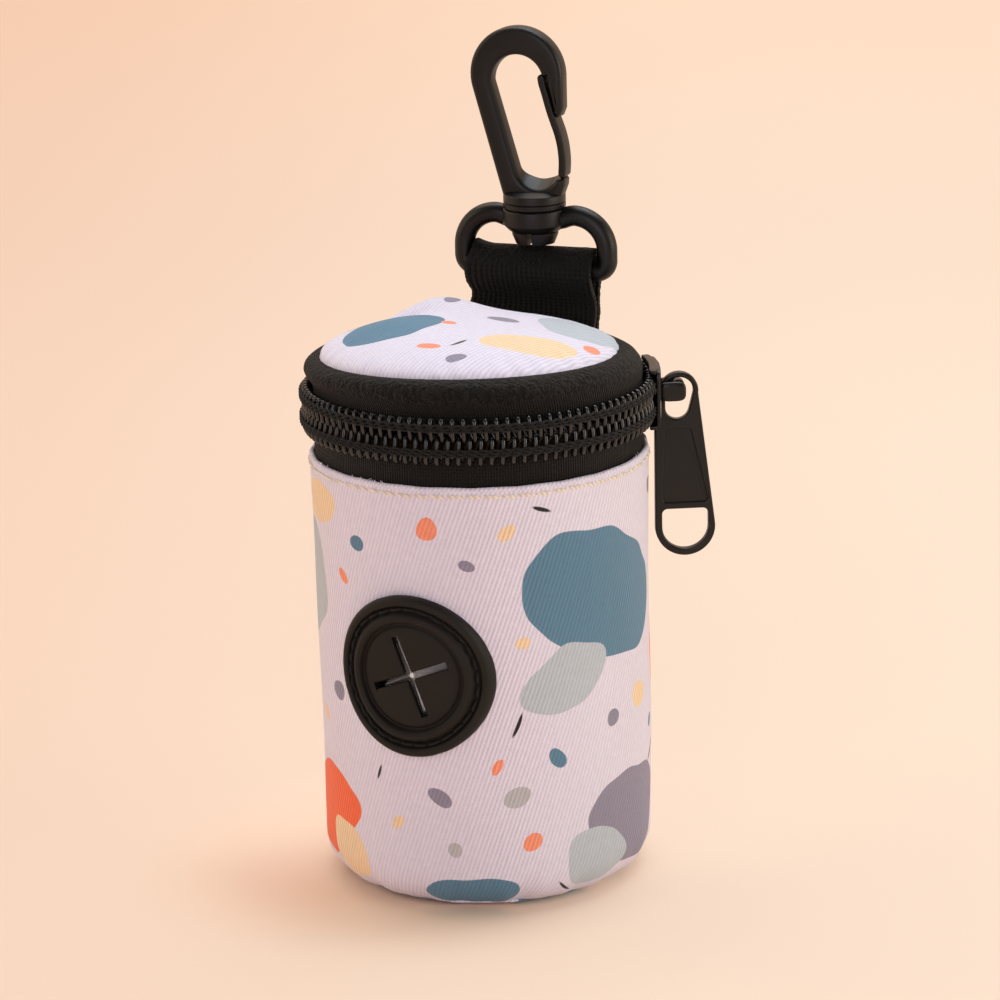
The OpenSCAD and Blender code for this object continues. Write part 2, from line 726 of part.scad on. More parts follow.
module pull_tab() {
    color("#231C1B")
    rotate([0, 0, slider_turn]) difference() {
        upright(belt(pull_c, pull_ring_r, pull_end_c, pull_end_r), pull_t, 0);
        upright(belt(pull_c, pull_hole_r, pull_tear_c, pull_tear_r), pull_t + 2 * through, 0);
        upright(finger_slot(), pull_t + 2 * through, 0);
        for (y = [-pull_t / 2, pull_t / 2])
            upright(pull_panel(), 2 * panel_sink, y);
    }
}

module bag_roll() {
    color("#E8E6E2")
    translate([0, 0, roll_z]) difference() {
        cylinder(d = roll_d, h = roll_l);
        translate([0, 0, -through]) cylinder(d = core_d + 2 * ply_gap, h = roll_l + 2 * through);
    }
}

module roll_core() {
    color("#B89B72")
    translate([0, 0, roll_z]) difference() {
        cylinder(d = core_d, h = roll_l);
        translate([0, 0, -through]) cylinder(d = core_d - 2 * core_t, h = roll_l + 2 * through);
    }
}

side_panel();
side_foam();
side_lining();
base_panel();
base_board();
base_lining();
base_binding();
hem_thread();
lower_tape();
lower_coil();
lower_hinge();
outlet_patch();
outlet_thread();
lid_panel();
lid_foam();
lid_lining();
lid_binding();
upper_tape();
upper_coil();
upper_hinge();
strap_root();
root_thread();
strap_loop();
strap_thread();
d_ring();
swivel_hook();
hook_gate();
slider_body();
pull_tab();
bag_roll();
roll_core();
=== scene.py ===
"""Dog poop bag dispenser: a soft zipped pouch on a webbing strap with a swivel snap hook.

Sizes are in millimetres and angles in degrees. Angle 0 is +X, 90 is +Y, and the outlet is at -90.
"""

import bmesh
import bpy
import numpy as np
from mathutils import Matrix, Vector


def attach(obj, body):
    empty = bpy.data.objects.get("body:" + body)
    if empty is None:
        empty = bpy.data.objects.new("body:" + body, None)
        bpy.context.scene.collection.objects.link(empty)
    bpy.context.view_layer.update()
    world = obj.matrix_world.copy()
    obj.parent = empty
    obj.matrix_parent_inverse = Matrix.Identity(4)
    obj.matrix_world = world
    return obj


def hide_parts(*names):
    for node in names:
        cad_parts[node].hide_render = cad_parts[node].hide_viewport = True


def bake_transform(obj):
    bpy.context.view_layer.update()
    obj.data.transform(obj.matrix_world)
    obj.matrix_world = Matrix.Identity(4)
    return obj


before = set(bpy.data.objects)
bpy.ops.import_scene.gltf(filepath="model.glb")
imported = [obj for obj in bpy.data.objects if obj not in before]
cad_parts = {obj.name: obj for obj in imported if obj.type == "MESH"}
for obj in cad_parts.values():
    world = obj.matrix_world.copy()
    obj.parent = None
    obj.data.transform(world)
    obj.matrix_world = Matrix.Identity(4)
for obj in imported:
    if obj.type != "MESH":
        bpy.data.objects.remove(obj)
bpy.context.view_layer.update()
bpy.context.scene.view_settings.view_transform = "Standard"

# ---------------------------------------------------------------------------------------------
# Camera. A long lens, about 57 cm away, a little above the pouch and 21 degrees to the right of
# the outlet, turned so that the picture leans slightly to the left.
EYE, AIM = Vector((0.1945, -0.5066, 0.2018)), Vector((0, 0, 0.05478))
lens = bpy.data.cameras.new("camera")
lens.lens, lens.sensor_width = 142.6, 36
lens.shift_x, lens.shift_y = 0.0195, -0.005
lens.clip_start, lens.clip_end = 0.05, 20
camera = bpy.data.objects.new("camera", lens)
bpy.context.scene.collection.objects.link(camera)
turn = (AIM - EYE).to_track_quat("-Z", "Y").to_matrix() @ Matrix.Rotation(np.radians(-1.5), 3, "Z")
camera.matrix_world = Matrix.Translation(EYE) @ turn.to_4x4()
bpy.context.scene.camera = camera


# ---------------------------------------------------------------------------------------------
# Stage. One sheet of pale peach paper, flat under the pouch and curved up behind it. It is matt,
# takes the pouch's shadow and has painted shade that makes it a little darker towards the left.
# Further off it glows and turns to the horizon's colour, which the room has too, so that the
# ground has no edge in any view.
def linear(code):
    """A colour written as sRGB hex, turned to linear light."""
    c = np.array([int(code[i:i + 2], 16) / 255 for i in (1, 3, 5)])
    c = np.where(c <= 0.04045, c / 12.92, ((c + 0.055) / 1.055) ** 2.4)
    return (*c, 1.0)


def feed(tree, node, inputs):
    """Sets a node's inputs; each is a value or the socket that feeds it."""
    for key, value in inputs.items():
        if isinstance(value, bpy.types.NodeSocket):
            tree.links.new(value, node.inputs[key])
        else:
            node.inputs[key].default_value = value


def add(tree, kind, inputs={}, **settings):
    """Adds one node with its settings; an input is a value or the socket that feeds it."""
    made = tree.nodes.new("ShaderNode" + kind)
    for key, value in settings.items():
        setattr(made, key, value)
    feed(tree, made, inputs)
    return made


OUTLET_Z = 35.0


def surface(name, points, round_i=False, round_j=False, uv=None, caps=False, hole=0):
    """Mesh through a grid of points in mm. Point (i, j) joins (i + 1, j) and (i, j + 1), and the
    last row or column joins the first where the grid goes round. Caps close both open ends. A
    hole leaves out the faces within that radius of the outlet's axis, and moves the points that
    are left inside it out to its edge."""
    n, m = points.shape[:2]
    i, j = np.meshgrid(np.arange(n - (not round_i)), np.arange(m - (not round_j)), indexing="ij")
    i, j = i.ravel(), j.ravel()
    corners = np.stack([[i, j], [i + 1, j], [i + 1, j + 1], [i, j + 1]])
    faces = ((corners[:, 0] % n) * m + corners[:, 1] % m).T
    points = points.reshape(-1, 3)
    if hole:
        x, y, z = points.T
        d = np.hypot(x, z - OUTLET_Z)
        inside = (d < hole) & (y < 0)
        kept = ~inside[faces].all(1)
        faces, corners = faces[kept], corners[:, :, kept]
        out = np.where(inside, hole / np.maximum(d, 1e-6), 1)
        y = np.where(inside, -np.sqrt(np.maximum(x ** 2 + y ** 2 - (x * out) ** 2, 0)), y)
        points = np.stack([x * out, y, OUTLET_Z + (z - OUTLET_Z) * out], 1)
    faces = faces.tolist()
    quads = len(faces)
    if caps:
        faces += [list(range(m)), list(range((n - 1) * m, n * m))]
    mesh = bpy.data.meshes.new(name)
    mesh.from_pydata((points * 0.001).tolist(), [], faces)
    layer = mesh.uv_layers.new(name="mm")
    if uv is not None:
        flat = np.zeros((len(mesh.loops), 2), np.float32)
        flat[:4 * quads] = uv[corners[:, 0], corners[:, 1]].transpose(1, 0, 2).reshape(-1, 2)
        layer.data.foreach_set("uv", flat.ravel())
    made = bpy.data.objects.new(name, mesh)
    bpy.context.scene.collection.objects.link(made)
    mesh.shade_smooth()
    return made


s = np.linspace(0, 1, 120)
bend = np.clip((s - 0.55) / 0.2, 0, 1) * np.pi / 2
ahead = np.where(s < 0.55, -8000 + s / 0.55 * 8800, 800 + 500 * np.sin(bend))
high = np.where(s < 0.55, 0, 500 * (1 - np.cos(bend))) + np.clip(s - 0.75, 0, 1) * 6000
across = np.linspace(-8000, 8000, 3)
paper = surface("paper", np.stack(np.broadcast_arrays(across[None], ahead[:, None], high[:, None]),
                                  2))

HORIZON = "#F8D9C2"
stage = bpy.data.materials.new("peach_paper")
stage.use_nodes = True
tree = stage.node_tree
tree.nodes.clear()
place = add(tree, "TexCoord").outputs["Object"]
across, depth, _ = add(tree, "SeparateXYZ", {0: place}).outputs
across = add(tree, "Math", {0: depth, 1: 0.38, 2: across}, operation="MULTIPLY_ADD").outputs[0]
# Painted shade: the paper's colour is drawn a little darker towards -X.
painted_left_shade = add(tree, "MapRange", {0: across, 1: -0.2, 2: 0.12},
           interpolation_type="SMOOTHSTEP").outputs[0]
tone = add(tree, "Mix", {0: painted_left_shade, 6: linear("#F0CDB5"), 7: linear("#F8E0CB")},
           data_type="RGBA").outputs[2]
away = add(tree, "MapRange", {0: depth, 1: 0.25, 2: 0.95}).outputs[0]
tone = add(tree, "Mix", {0: away, 6: tone, 7: (1.0, 0.92, 0.86, 1.0)}, data_type="RGBA",
           blend_type="MULTIPLY").outputs[2]
matt = add(tree, "BsdfDiffuse", {0: tone}).outputs[0]
far = add(tree, "VectorMath", {0: place}, operation="LENGTH").outputs["Value"]
far = add(tree, "MapRange", {0: far, 1: 1.4, 2: 4.0}, interpolation_type="SMOOTHSTEP").outputs[0]
tone = add(tree, "Mix", {0: far, 6: tone, 7: linear(HORIZON)}, data_type="RGBA").outputs[2]
strength = add(tree, "Math", {0: away, 1: 0.04, 2: 1.04}, operation="MULTIPLY_ADD").outputs[0]
glow = add(tree, "Emission", {0: tone, 1: strength}).outputs[0]
seen = add(tree, "LightPath")
direct = add(tree, "Math", {0: seen.outputs["Is Camera Ray"], 1: seen.outputs["Is Glossy Ray"]},
             operation="MAXIMUM")
direct = add(tree, "Math", {0: direct.outputs[0], 1: seen.outputs["Is Transmission Ray"]},
             operation="MAXIMUM")
reach = add(tree, "VectorMath", {0: place, 1: (-0.012, -0.004, 0.0)},
            operation="SUBTRACT").outputs[0]
reach = add(tree, "VectorMath", {0: reach}, operation="LENGTH").outputs["Value"]
glowing = add(tree, "MapRange", {0: reach, 1: 0.023, 2: 0.044, 3: 0.0, 4: 0.75},
              interpolation_type="SMOOTHSTEP").outputs[0]
beyond = add(tree, "MapRange", {0: reach, 1: 0.25, 2: 0.6},
             interpolation_type="SMOOTHSTEP").outputs[0]
glowing = add(tree, "Math", {0: beyond, 1: 0.25, 2: glowing}, operation="MULTIPLY_ADD").outputs[0]
share = add(tree, "Math", {0: direct.outputs[0], 1: glowing}, operation="MULTIPLY").outputs[0]
mixed = add(tree, "MixShader", {0: share, 1: matt, 2: glow}).outputs[0]
add(tree, "OutputMaterial", {0: mixed})
paper.data.materials.append(stage)

# ---------------------------------------------------------------------------------------------
# Light. Broad lamps: the strongest above and behind, which lights the lid and throws a short soft
# shadow forward, one low on the right for that edge, two on the left and a weaker one in front.
for name, at, size, watts, tint in (
        ("overhead", (0.08, 0.33, 0.92), 0.65, 6.9, "#ECF7FF"),
        ("right", (0.9, 0.05, 0.25), 0.6, 4.4, "#FFFAEA"),
        ("front", (0.15, -1.0, 0.4), 0.8, 4.4, "#FCF4FA"),
        ("left", (-0.85, -0.3, 0.4), 0.7, 2.7, "#FFF6E0"),
        ("left_behind", (-0.45, 0.25, 0.85), 0.6, 3.2, "#FFEFDF")):
    lamp = bpy.data.lights.new(name, "AREA")
    lamp.size, lamp.energy, lamp.color = size, watts, linear(tint)[:3]
    holder = bpy.data.objects.new(name, lamp)
    holder.matrix_world = Matrix.Translation(at) @ (
        Vector((0, 0, 0.06)) - Vector(at)).to_track_quat("-Z", "Y").to_matrix().to_4x4()
    bpy.context.scene.collection.objects.link(holder)
room = bpy.data.worlds.new("room")
room.use_nodes = True
tree = room.node_tree
seen = add(tree, "LightPath").outputs["Is Camera Ray"]
air = add(tree, "Mix", {0: seen, 6: linear("#FFF4E8"), 7: linear(HORIZON)},
          data_type="RGBA").outputs[2]
strength = add(tree, "MapRange", {0: seen, 3: 0.05, 4: 1.04}).outputs[0]
feed(tree, tree.nodes["Background"], {0: air, 1: strength})
bpy.context.scene.world = room

# ---------------------------------------------------------------------------------------------
# Printed side. Polyester twill, printed with soft stones, seeds and thin slivers, wrapped round
# the foam and folded in at the hem. It tapers a little and turns under at the base seam.
HEM_R, HEM_Z, LOW_R, CORNER_R = 24.0, 62.2, 23.3, 6.5
CORNER_X = 16.8


def arc(x, y, r, a0, a1, n):
    """Points on an arc about (x, y) from angle a0 to a1, n steps."""
    a = np.radians(np.linspace(a0, a1, n + 1))
    return np.stack([x + r * np.cos(a), y + r * np.sin(a)], 1)


def side_r(z):
    """Radius of the side at height z: a straight taper from the hem to the base corner."""
    return HEM_R - (HEM_R - LOW_R) * (HEM_Z - z) / (HEM_Z - CORNER_R)


def spaced(outline, step):
    """The same closed outline with points at most a step apart, on its straight runs too."""
    ends = np.roll(outline, -1, axis=0)
    counts = np.maximum(1, np.ceil(np.linalg.norm(ends - outline, axis=1) / step)).astype(int)
    return np.concatenate([a + (b - a) * np.arange(k)[:, None] / k for a, b,
                           k in zip(outline, ends, counts)])


def sag(angle, z, phase=0.0):
    """Soft hollows of cloth: three slow waves round the pouch that drift with height, in mm."""
    return (0.17 * np.sin(2 * angle + 0.045 * z + 0.6 + phase) + 0.1
            * np.sin(3 * angle - 0.09 * z + 2.2 + phase)
            + 0.06 * np.sin(7 * angle + 0.21 * z + phase))


def turned(name, outline, angles, ripple=None, across=24.0, start=0.0, hole=0):
    """Turns a closed outline of (radius, height) through the angles. Ripple gives the change of
    radius and height at each point. The map runs across * angle one way and along the outline
    the other."""
    angles = np.radians(angles)
    full = abs(abs(angles[-1] - angles[0]) + abs(angles[1] - angles[0]) - 2 * np.pi) < 1e-6
    r, z = np.broadcast_arrays(outline[:, 0], outline[None, :, 1] + 0 * angles[:, None])
    if ripple:
        dr, dz = ripple(angles[:, None], r, z)
        r, z = r + dr, z + dz
    points = np.stack([r * np.cos(angles)[:, None], r * np.sin(angles)[:, None], z], 2)
    along = np.linalg.norm(np.roll(outline, -1, axis=0) - outline, axis=1)
    v = start - np.concatenate([[0], np.cumsum(along)])
    step = angles[1] - angles[0]
    u = across * (np.append(angles, angles[-1] + step) + np.pi / 2)
    uv = np.stack(np.broadcast_arrays(u[:, None], v[None]), 2)
    made = surface(name, points, full, True, uv, not full, hole)
    tidy(made)
    return made


def tidy(made, crease=40):
    """Joins points that coincide, closes the wall of a hole, turns the faces of the closed shell
    outwards, and keeps edges sharper than the crease angle crisp."""
    shell = bmesh.new()
    shell.from_mesh(made.data)
    bmesh.ops.delete(shell, geom=[v for v in shell.verts if not v.link_faces], context="VERTS")
    bmesh.ops.remove_doubles(shell, verts=shell.verts, dist=1e-6)
    rim = [e for e in shell.edges if e.is_boundary]
    if rim:
        bmesh.ops.bridge_loops(shell, edges=rim)
    bmesh.ops.dissolve_degenerate(shell, edges=shell.edges, dist=1e-7)
    bmesh.ops.recalc_face_normals(shell, faces=shell.faces)
    shell.to_mesh(made.data)
    shell.free()
    made.data.shade_smooth()
    made.data.set_sharp_from_angle(angle=np.radians(crease))


def fit(made, body, slot, material, *nodes):
    """Gives a piece its finish and its body, and hides the solids that it stands for. The slot is
    not used."""
    made.data.materials.clear()
    made.data.materials.append(material)
    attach(made, body)
    if nodes:
        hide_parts(*nodes)


def moved(made, matrix):
    """Places a finished mesh: the move goes into its points."""
    made.data.transform(matrix)
    made.data.update()
    return made


# The side and all that is sewn to it are made with the outlet at -Y, then turned a little.
ASIDE = Matrix.Rotation(np.radians(-4.5), 4, "Z")
ROUND = np.linspace(0, 360, 361)[:-1] - 270
SEAM = 61.0
outside = np.concatenate([[[HEM_R, HEM_Z - 0.5]],
                          [[side_r(z), z] for z in np.linspace(60.5, 7, 60)],
                          arc(LOW_R - CORNER_R, CORNER_R, CORNER_R, 0, -SEAM, 12)])
inner = np.concatenate([arc(LOW_R - CORNER_R, CORNER_R, CORNER_R - 0.6, -SEAM, 0, 12),
                        [[side_r(z) - 0.6, z] for z in np.linspace(7, 60, 30)]])
fold = arc(HEM_R - 0.37, HEM_Z - 0.4, 0.37, 180, 0, 6) + [0, 0.03]
side_outline = np.concatenate([outside, inner, fold])


def side_ripple(a, r, z):
    """The slow hollows, fading at the hem, and small puckers drawn in by the base seam."""
    hold = np.clip((HEM_Z - z) / 12, 0.25, 1)
    pucker = np.exp(-(z / 4.5) ** 2) * (0.2 * np.sin(17 * a + 1) + 0.14 * np.sin(29 * a))
    lip = 0.07 * np.sin(23 * a + 0.5) * np.clip(1 - (HEM_Z - z) / 2.5, 0, 1)
    return hold * sag(a, z) + pucker + lip, lip * 0.8


side_twill = moved(turned("side_twill", side_outline, ROUND, side_ripple, start=HEM_Z - 0.5,
                          hole=8), ASIDE)


def begun(name):
    """A new material, its node tree and its shader."""
    made = bpy.data.materials.new(name)
    made.use_nodes = True
    return made, made.node_tree, made.node_tree.nodes["Principled BSDF"]


def printed_twill(name, stones, flat):
    """Printed polyester twill: steep diagonal ribs 0.6 mm apart that lean to the right, with
    painted shade that makes the valleys a shade darker than the crowns. Matt with a faint sheen."""
    made, tree, shader = begun(name)
    if flat:
        x, y, _ = add(tree, "SeparateXYZ", {0: add(tree, "TexCoord").outputs["Object"]}).outputs
        place = add(tree, "CombineXYZ", {0: x, 1: y}).outputs[0]
        place = add(tree, "VectorMath", {0: place, "Scale": 1000.0}, operation="SCALE").outputs[0]
    else:
        place = add(tree, "UVMap", uv_map="mm").outputs[0]
    waver = add(tree, "TexNoise", {"Vector": place, "Scale": 0.1, "Detail": 0.6},
                noise_dimensions="2D").outputs["Color"]
    waver = add(tree, "VectorMath", {0: waver, 1: (0.5, 0.5, 0.5)}, operation="SUBTRACT").outputs[0]
    waver = add(tree, "VectorMath", {0: waver, 1: (3.4, 3.4, 0.0), 2: place},
                operation="MULTIPLY_ADD").outputs[0]
    waver = add(tree, "VectorMath", {0: waver, 1: (1.0, 1.0, 0.0)}, operation="MULTIPLY").outputs[0]
    colour = linear("#E8E1F2")
    for u, v, a, b, lean, code in stones:
        spot = add(tree, "Mapping", {0: waver, 1: (u, v, 0), 2: (0, 0, np.radians(lean)),
                                     3: (a, b, 1)}, vector_type="TEXTURE").outputs[0]
        far = add(tree, "VectorMath", {0: spot}, operation="LENGTH").outputs["Value"]
        edge = min(a, b) / 0.09
        inside = add(tree, "Math", {0: far, 1: -edge, 2: edge + 0.5}, operation="MULTIPLY_ADD",
                     use_clamp=True).outputs[0]
        colour = add(tree, "Mix", {0: inside, 6: colour, 7: linear(code)},
                     data_type="RGBA").outputs[2]
    ribs = add(tree, "Mapping", {0: place, 2: (0, 0, np.radians(20))},
               vector_type="POINT").outputs[0]
    across, along, _ = add(tree, "SeparateXYZ", {0: ribs}).outputs
    wave = add(tree, "Math", {0: add(tree, "Math", {0: across, 1: 2 * np.pi / 0.6},
                                     operation="MULTIPLY").outputs[0]}, operation="SINE").outputs[0]
    yarn = add(tree, "Math", {0: across, 1: 5.5}, operation="MULTIPLY").outputs[0]
    yarn = add(tree, "Math", {0: along, 1: 2 * np.pi / 0.62, 2: yarn},
               operation="MULTIPLY_ADD").outputs[0]
    yarn = add(tree, "Math", {0: yarn}, operation="SINE").outputs[0]
    weave = add(tree, "Math", {0: yarn, 1: 0.16, 2: wave}, operation="MULTIPLY_ADD").outputs[0]
    slub = add(tree, "TexNoise", {"Vector": ribs, "Scale": 1.1, "Detail": 3.0}).outputs[0]
    # Painted shade: the low parts of the weave are drawn darker; worn adds a random slub tone.
    depth = add(tree, "MapRange", {0: weave, 1: -1.1, 2: 0.7, 3: 0.82, 4: 1.0}).outputs[0]
    worn = add(tree, "MapRange", {0: slub, 1: 0.3, 2: 0.7, 3: 0.95, 4: 1.02}).outputs[0]
    shade = add(tree, "Math", {0: depth, 1: worn}, operation="MULTIPLY").outputs[0]
    colour = add(tree, "Mix", {0: 1.0, 6: colour, 7: shade}, data_type="RGBA",
                 blend_type="MULTIPLY").outputs[2]
    bump = add(tree, "Bump", {"Strength": 0.5, "Distance": 0.00006, "Height": weave}).outputs[0]
    feed(tree, shader, {"Base Color": colour, "Normal": bump, "Roughness": 0.78,
                        "Sheen Weight": 0.12,
                        "Sheen Roughness": 0.5, "Specular IOR Level": 0.3})
    return made


STEEL, PALE, MAUVE, CORAL, SAND, GREY, INK = (
    "#6086A0", "#C0C8D2", "#948EA2", "#FF9C7C", "#FADAB4", "#C0BDC2", "#2A2528")
side_print = [
    # large stones, some of them overlapping: place, half width, half height, lean, colour
    (29.5, 45, 14, 9.5, -20, STEEL), (22.5, 33.5, 7.5, 4.6, 22, PALE),
    (-20, 11.5, 9.5, 6.6, 14, "#FF6F42"), (-13.5, 6.5, 5, 3.2, -25, SAND),
    (36, 11, 9.5, 7, 18, MAUVE), (28, 6, 5.5, 4, -12, PALE), (-24.5, 44, 6, 8.5, -12, PALE),
    (-19, 56.5, 5.2, 3.6, 14, SAND),
    (8, 2.5, 7, 3.4, 6, STEEL), (52, 33, 8, 6.5, 10, CORAL), (-48, 50, 8, 6, 20, STEEL),
    (-52, 22, 9, 7, -20, PALE), (68, 44, 9, 7, -12, SAND),
    (62, 12, 8, 6, 25, STEEL), (-64, 8, 6, 4.6, 10, MAUVE),
    # seeds, alone or two by two
    (3.4, 56.2, 2.0, 1.4, 20, CORAL), (8.6, 51.0, 1.4, 1.0, -30, MAUVE),
    (14.2, 55.8, 1.2, 0.85, 50, SAND), (-8.6, 52.4, 1.6, 1.1, 10, STEEL),
    (-12.8, 47.6, 1.0, 0.75, -40, CORAL), (15.6, 17.4, 2.2, 1.6, 28, GREY),
    (20.6, 22.8, 1.4, 1.0, -20, STEEL), (12.4, 22.2, 1.1, 0.8, 60, CORAL),
    (2.8, 17.4, 1.8, 1.3, -18, MAUVE), (-3.2, 13.0, 1.2, 0.9, 35, SAND),
    (5.6, 10.2, 1.3, 0.95, 0, GREY), (16.8, 9.6, 1.7, 1.2, 14, CORAL),
    (15.4, 40.4, 1.2, 0.9, 20, SAND), (38.4, 27.5, 2.2, 1.6, -24, SAND),
    (30.4, 26.0, 1.3, 0.95, 16, MAUVE), (43.4, 22.4, 1.2, 0.9, 50, STEEL),
    (-15.6, 29.4, 1.6, 1.15, 24, MAUVE), (-21.0, 24.6, 1.2, 0.9, -30, SAND),
    (45.5, 57, 2.0, 1.5, 12, MAUVE), (-30, 26.5, 2.2, 1.6, 30, STEEL),
    (-36, 44, 1.8, 1.3, -50, MAUVE), (-34, 36, 1.2, 0.9, 10, CORAL), (60, 58, 1.6, 1.1, 40, MAUVE),
    (-62, 38, 2, 1.5, 10, SAND),
    (-60, 24, 1.8, 1.3, 30, CORAL), (57, 22, 1.4, 1.0, 0, GREY),
    # dark slivers, far apart
    (14.6, 27.8, 1.9, 0.3, 64, INK), (-41.0, 14.0, 1.7, 0.28, -36, INK),
    (44.6, 17.6, 1.8, 0.3, 30, INK), (-27.0, 57.2, 1.6, 0.28, 24, INK),
    (22.6, 3.2, 1.5, 0.26, -40, INK), (19.0, 58.2, 1.6, 0.28, -18, INK),
    (-6.4, 20.2, 1.4, 0.26, 76, INK), (-42, 33, 1.9, 0.3, 50, INK)]
side_cloth = printed_twill("printed_polyester_twill_side", side_print, flat=False)
fit(side_twill, "pouch", "printed_twill", side_cloth, "side_panel")

# ---------------------------------------------------------------------------------------------
# Topstitch at the hem. Two strands of cream polyester thread side by side, in stitches 2.4 mm
# long that dip into the twill between one stitch and the next.
def strand(name, path, radius, sides=6):
    """Tubes along many short paths at once: path is (stitches, points, 3) in mm. Each ring of a
    tube stands square to the line between its neighbours."""
    k, n = path.shape[:2]
    along = np.gradient(path, axis=1)
    along /= np.linalg.norm(along, axis=2, keepdims=True)
    up = np.cross(along, [0.31, 0.27, 0.91])
    up /= np.linalg.norm(up, axis=2, keepdims=True)
    out = np.cross(along, up)
    a = np.radians(np.arange(sides) * 360 / sides)[:, None]
    radius = np.broadcast_to(radius, (k, n))[..., None, None]
    rings = path[:, :, None] + radius * (np.cos(a) * up[:, :, None] + np.sin(a) * out[:, :, None])
    i, j, q = np.meshgrid(np.arange(k), np.arange(n - 1), np.arange(sides), indexing="ij")
    at = lambda j, q: ((i * n + j) * sides + q % sides).ravel()
    faces = np.stack([at(j, q), at(j + 1, q), at(j + 1, q + 1), at(j, q + 1)], 1).tolist()
    first = (np.arange(k)[:, None] * n * sides + np.arange(sides)).tolist()
    last = (np.arange(k)[:, None] * n * sides + (n - 1) * sides + np.arange(sides)).tolist()
    mesh = bpy.data.meshes.new(name)
    mesh.from_pydata((rings.reshape(-1, 3) * 0.001).tolist(), [], faces + first + last)
    made = bpy.data.objects.new(name, mesh)
    bpy.context.scene.collection.objects.link(made)
    tidy(made, 60)
    return made


t = np.linspace(0, 1, 9)
stitch = 2 * np.pi / 62
a = (np.arange(62)[:, None] + 0.04 + 0.92 * t) * stitch
z = 60.95 + 0.06 * np.sin(9 * a) - 0.15 * (t - 0.5)
r = side_r(z) + side_ripple(a, 24, z)[0] - 0.12 + 0.26 * np.sin(np.pi * t) ** 0.5
both = [np.stack([r * np.cos(a), r * np.sin(a), z + dz], 2) for dz in (-0.1, 0.1)]
hem_stitches = moved(strand("hem_stitches", np.concatenate(both), 0.12), ASIDE)


def thread(name, code, roughness=0.7):
    """Twisted polyester thread: a soft shine broken by the twist, drawn 0.25 mm apart, with
    painted shade that darkens the grooves of the twist.
    """
    made, tree, shader = begun(name)
    place = add(tree, "TexCoord").outputs["Object"]
    twist = add(tree, "TexWave", {"Vector": place, "Scale": 600.0, "Distortion": 1.5},
                bands_direction="DIAGONAL").outputs["Fac"]
    # Painted shade: where the twist is low, the thread is drawn 0.72 times as bright.
    dark = tuple(0.72 * c for c in linear(code)[:3]) + (1,)
    colour = add(tree, "Mix", {0: twist, 6: dark, 7: linear(code)}, data_type="RGBA").outputs[2]
    bump = add(tree, "Bump", {"Strength": 0.5, "Distance": 0.00004, "Height": twist}).outputs[0]
    feed(tree, shader, {"Base Color": colour, "Normal": bump, "Roughness": roughness})
    return made


cream = thread("cream_polyester_thread", "#F4E6D8")
fit(hem_stitches, "pouch", "cream_thread", cream, "hem_thread")

# Loose fibres that stand up from the cut of the twill at the hem, a few in each place.
rng = np.random.default_rng(7)
root = np.concatenate([rng.normal(c, 0.05, 5) for c in (-2.5, -2.3, -1.9, -1.75, 0.08, 1.5,
                                                        2.6)])[:, None]
t = np.linspace(0, 1, 5)
reach = rng.uniform(0.25, 0.8, root.shape)
sway = rng.normal(0, 0.02, root.shape) * t ** 1.5
a = root + sway
r = 23.75 + rng.normal(0, 0.25, root.shape) * t
z = HEM_Z - 0.15 + reach * t * (1 - 0.35 * t)
fibres = strand("hem_fibres", np.stack([r * np.cos(a), r * np.sin(a), z], 2), 0.045, 4)
fit(moved(fibres, ASIDE), "pouch", "printed_twill", thread("raw_polyester_fibre", "#F4ECF0"))

# ---------------------------------------------------------------------------------------------
# Foam and lining of the side. Closed-cell foam 2 mm thick between the twill and a dark nylon
# lining, which turns out over the foam's top edge to the zipper tape.
step = 57.05
foam_outline = np.concatenate([
    [[22.52, 61.0], [22.52, step]], [[side_r(z) - 0.68, z] for z in np.linspace(step, 7, 12)],
    arc(CORNER_X, CORNER_R, 5.82, 0, -SEAM, 8), arc(CORNER_X, CORNER_R, 3.88, -SEAM, 0, 8),
    [[side_r(z) - 2.62, z] for z in np.linspace(7, 61.0, 12)]])
side_foam = turned("side_foam_ply", spaced(foam_outline, 1.2), np.arange(0, 360, 3), lambda a, r,
                   z: (0.3 * sag(a, z), 0), hole=8.1)
moved(side_foam, ASIDE)


def plain(name, code, roughness, scale, depth, **more):
    """One colour with fine grain: noise at a real grain size in mm lifts the surface and shifts
    the shade by a few parts in a hundred."""
    made, tree, shader = begun(name)
    place = add(tree, "TexCoord").outputs["Object"]
    grain = add(tree, "TexNoise", {"Vector": place, "Scale": 1000.0 / scale, "Detail": 3.0,
                                   "Roughness": 0.6}).outputs[0]
    patch = add(tree, "TexNoise", {"Vector": place, "Scale": 110.0, "Detail": 2.0}).outputs[0]
    shift = add(tree, "Math", {0: grain, 1: patch}, operation="ADD").outputs[0]
    shift = add(tree, "MapRange", {0: shift, 1: 0.6, 2: 1.4, 3: 0.88, 4: 1.1}).outputs[0]
    colour = add(tree, "Mix", {0: 1.0, 6: linear(code), 7: shift}, data_type="RGBA",
                 blend_type="MULTIPLY").outputs[2]
    rough = add(tree, "MapRange", {0: patch, 1: 0.3, 2: 0.7, 3: roughness - 0.05,
                                   4: roughness + 0.06}).outputs[0]
    bump = add(tree, "Bump", {"Strength": 0.4, "Distance": depth * 0.001,
                              "Height": grain}).outputs[0]
    feed(tree, shader, {"Base Color": colour, "Roughness": rough, "Normal": bump})
    feed(tree, shader, {key.replace("_", " "): value for key, value in more.items()})
    return made


foam = plain("closed_cell_foam", "#D8D6D4", 0.85, 0.4, 0.15)
fit(side_foam, "pouch", "foam", foam, "side_foam")

lining_outline = np.concatenate([
    [[22.5, 61.1], [22.5, 61.45]], arc(21.35, 61.3, 0.45, 90, 180, 5),
    [[side_r(z) - 3.1, z] for z in np.linspace(60.8, 7, 40)],
    arc(CORNER_X, CORNER_R, 3.4, 0, -SEAM, 8), arc(CORNER_X, CORNER_R, 3.8, -SEAM, 0, 8),
    [[side_r(z) - 2.7, z] for z in np.linspace(7, 61.1, 30)]])


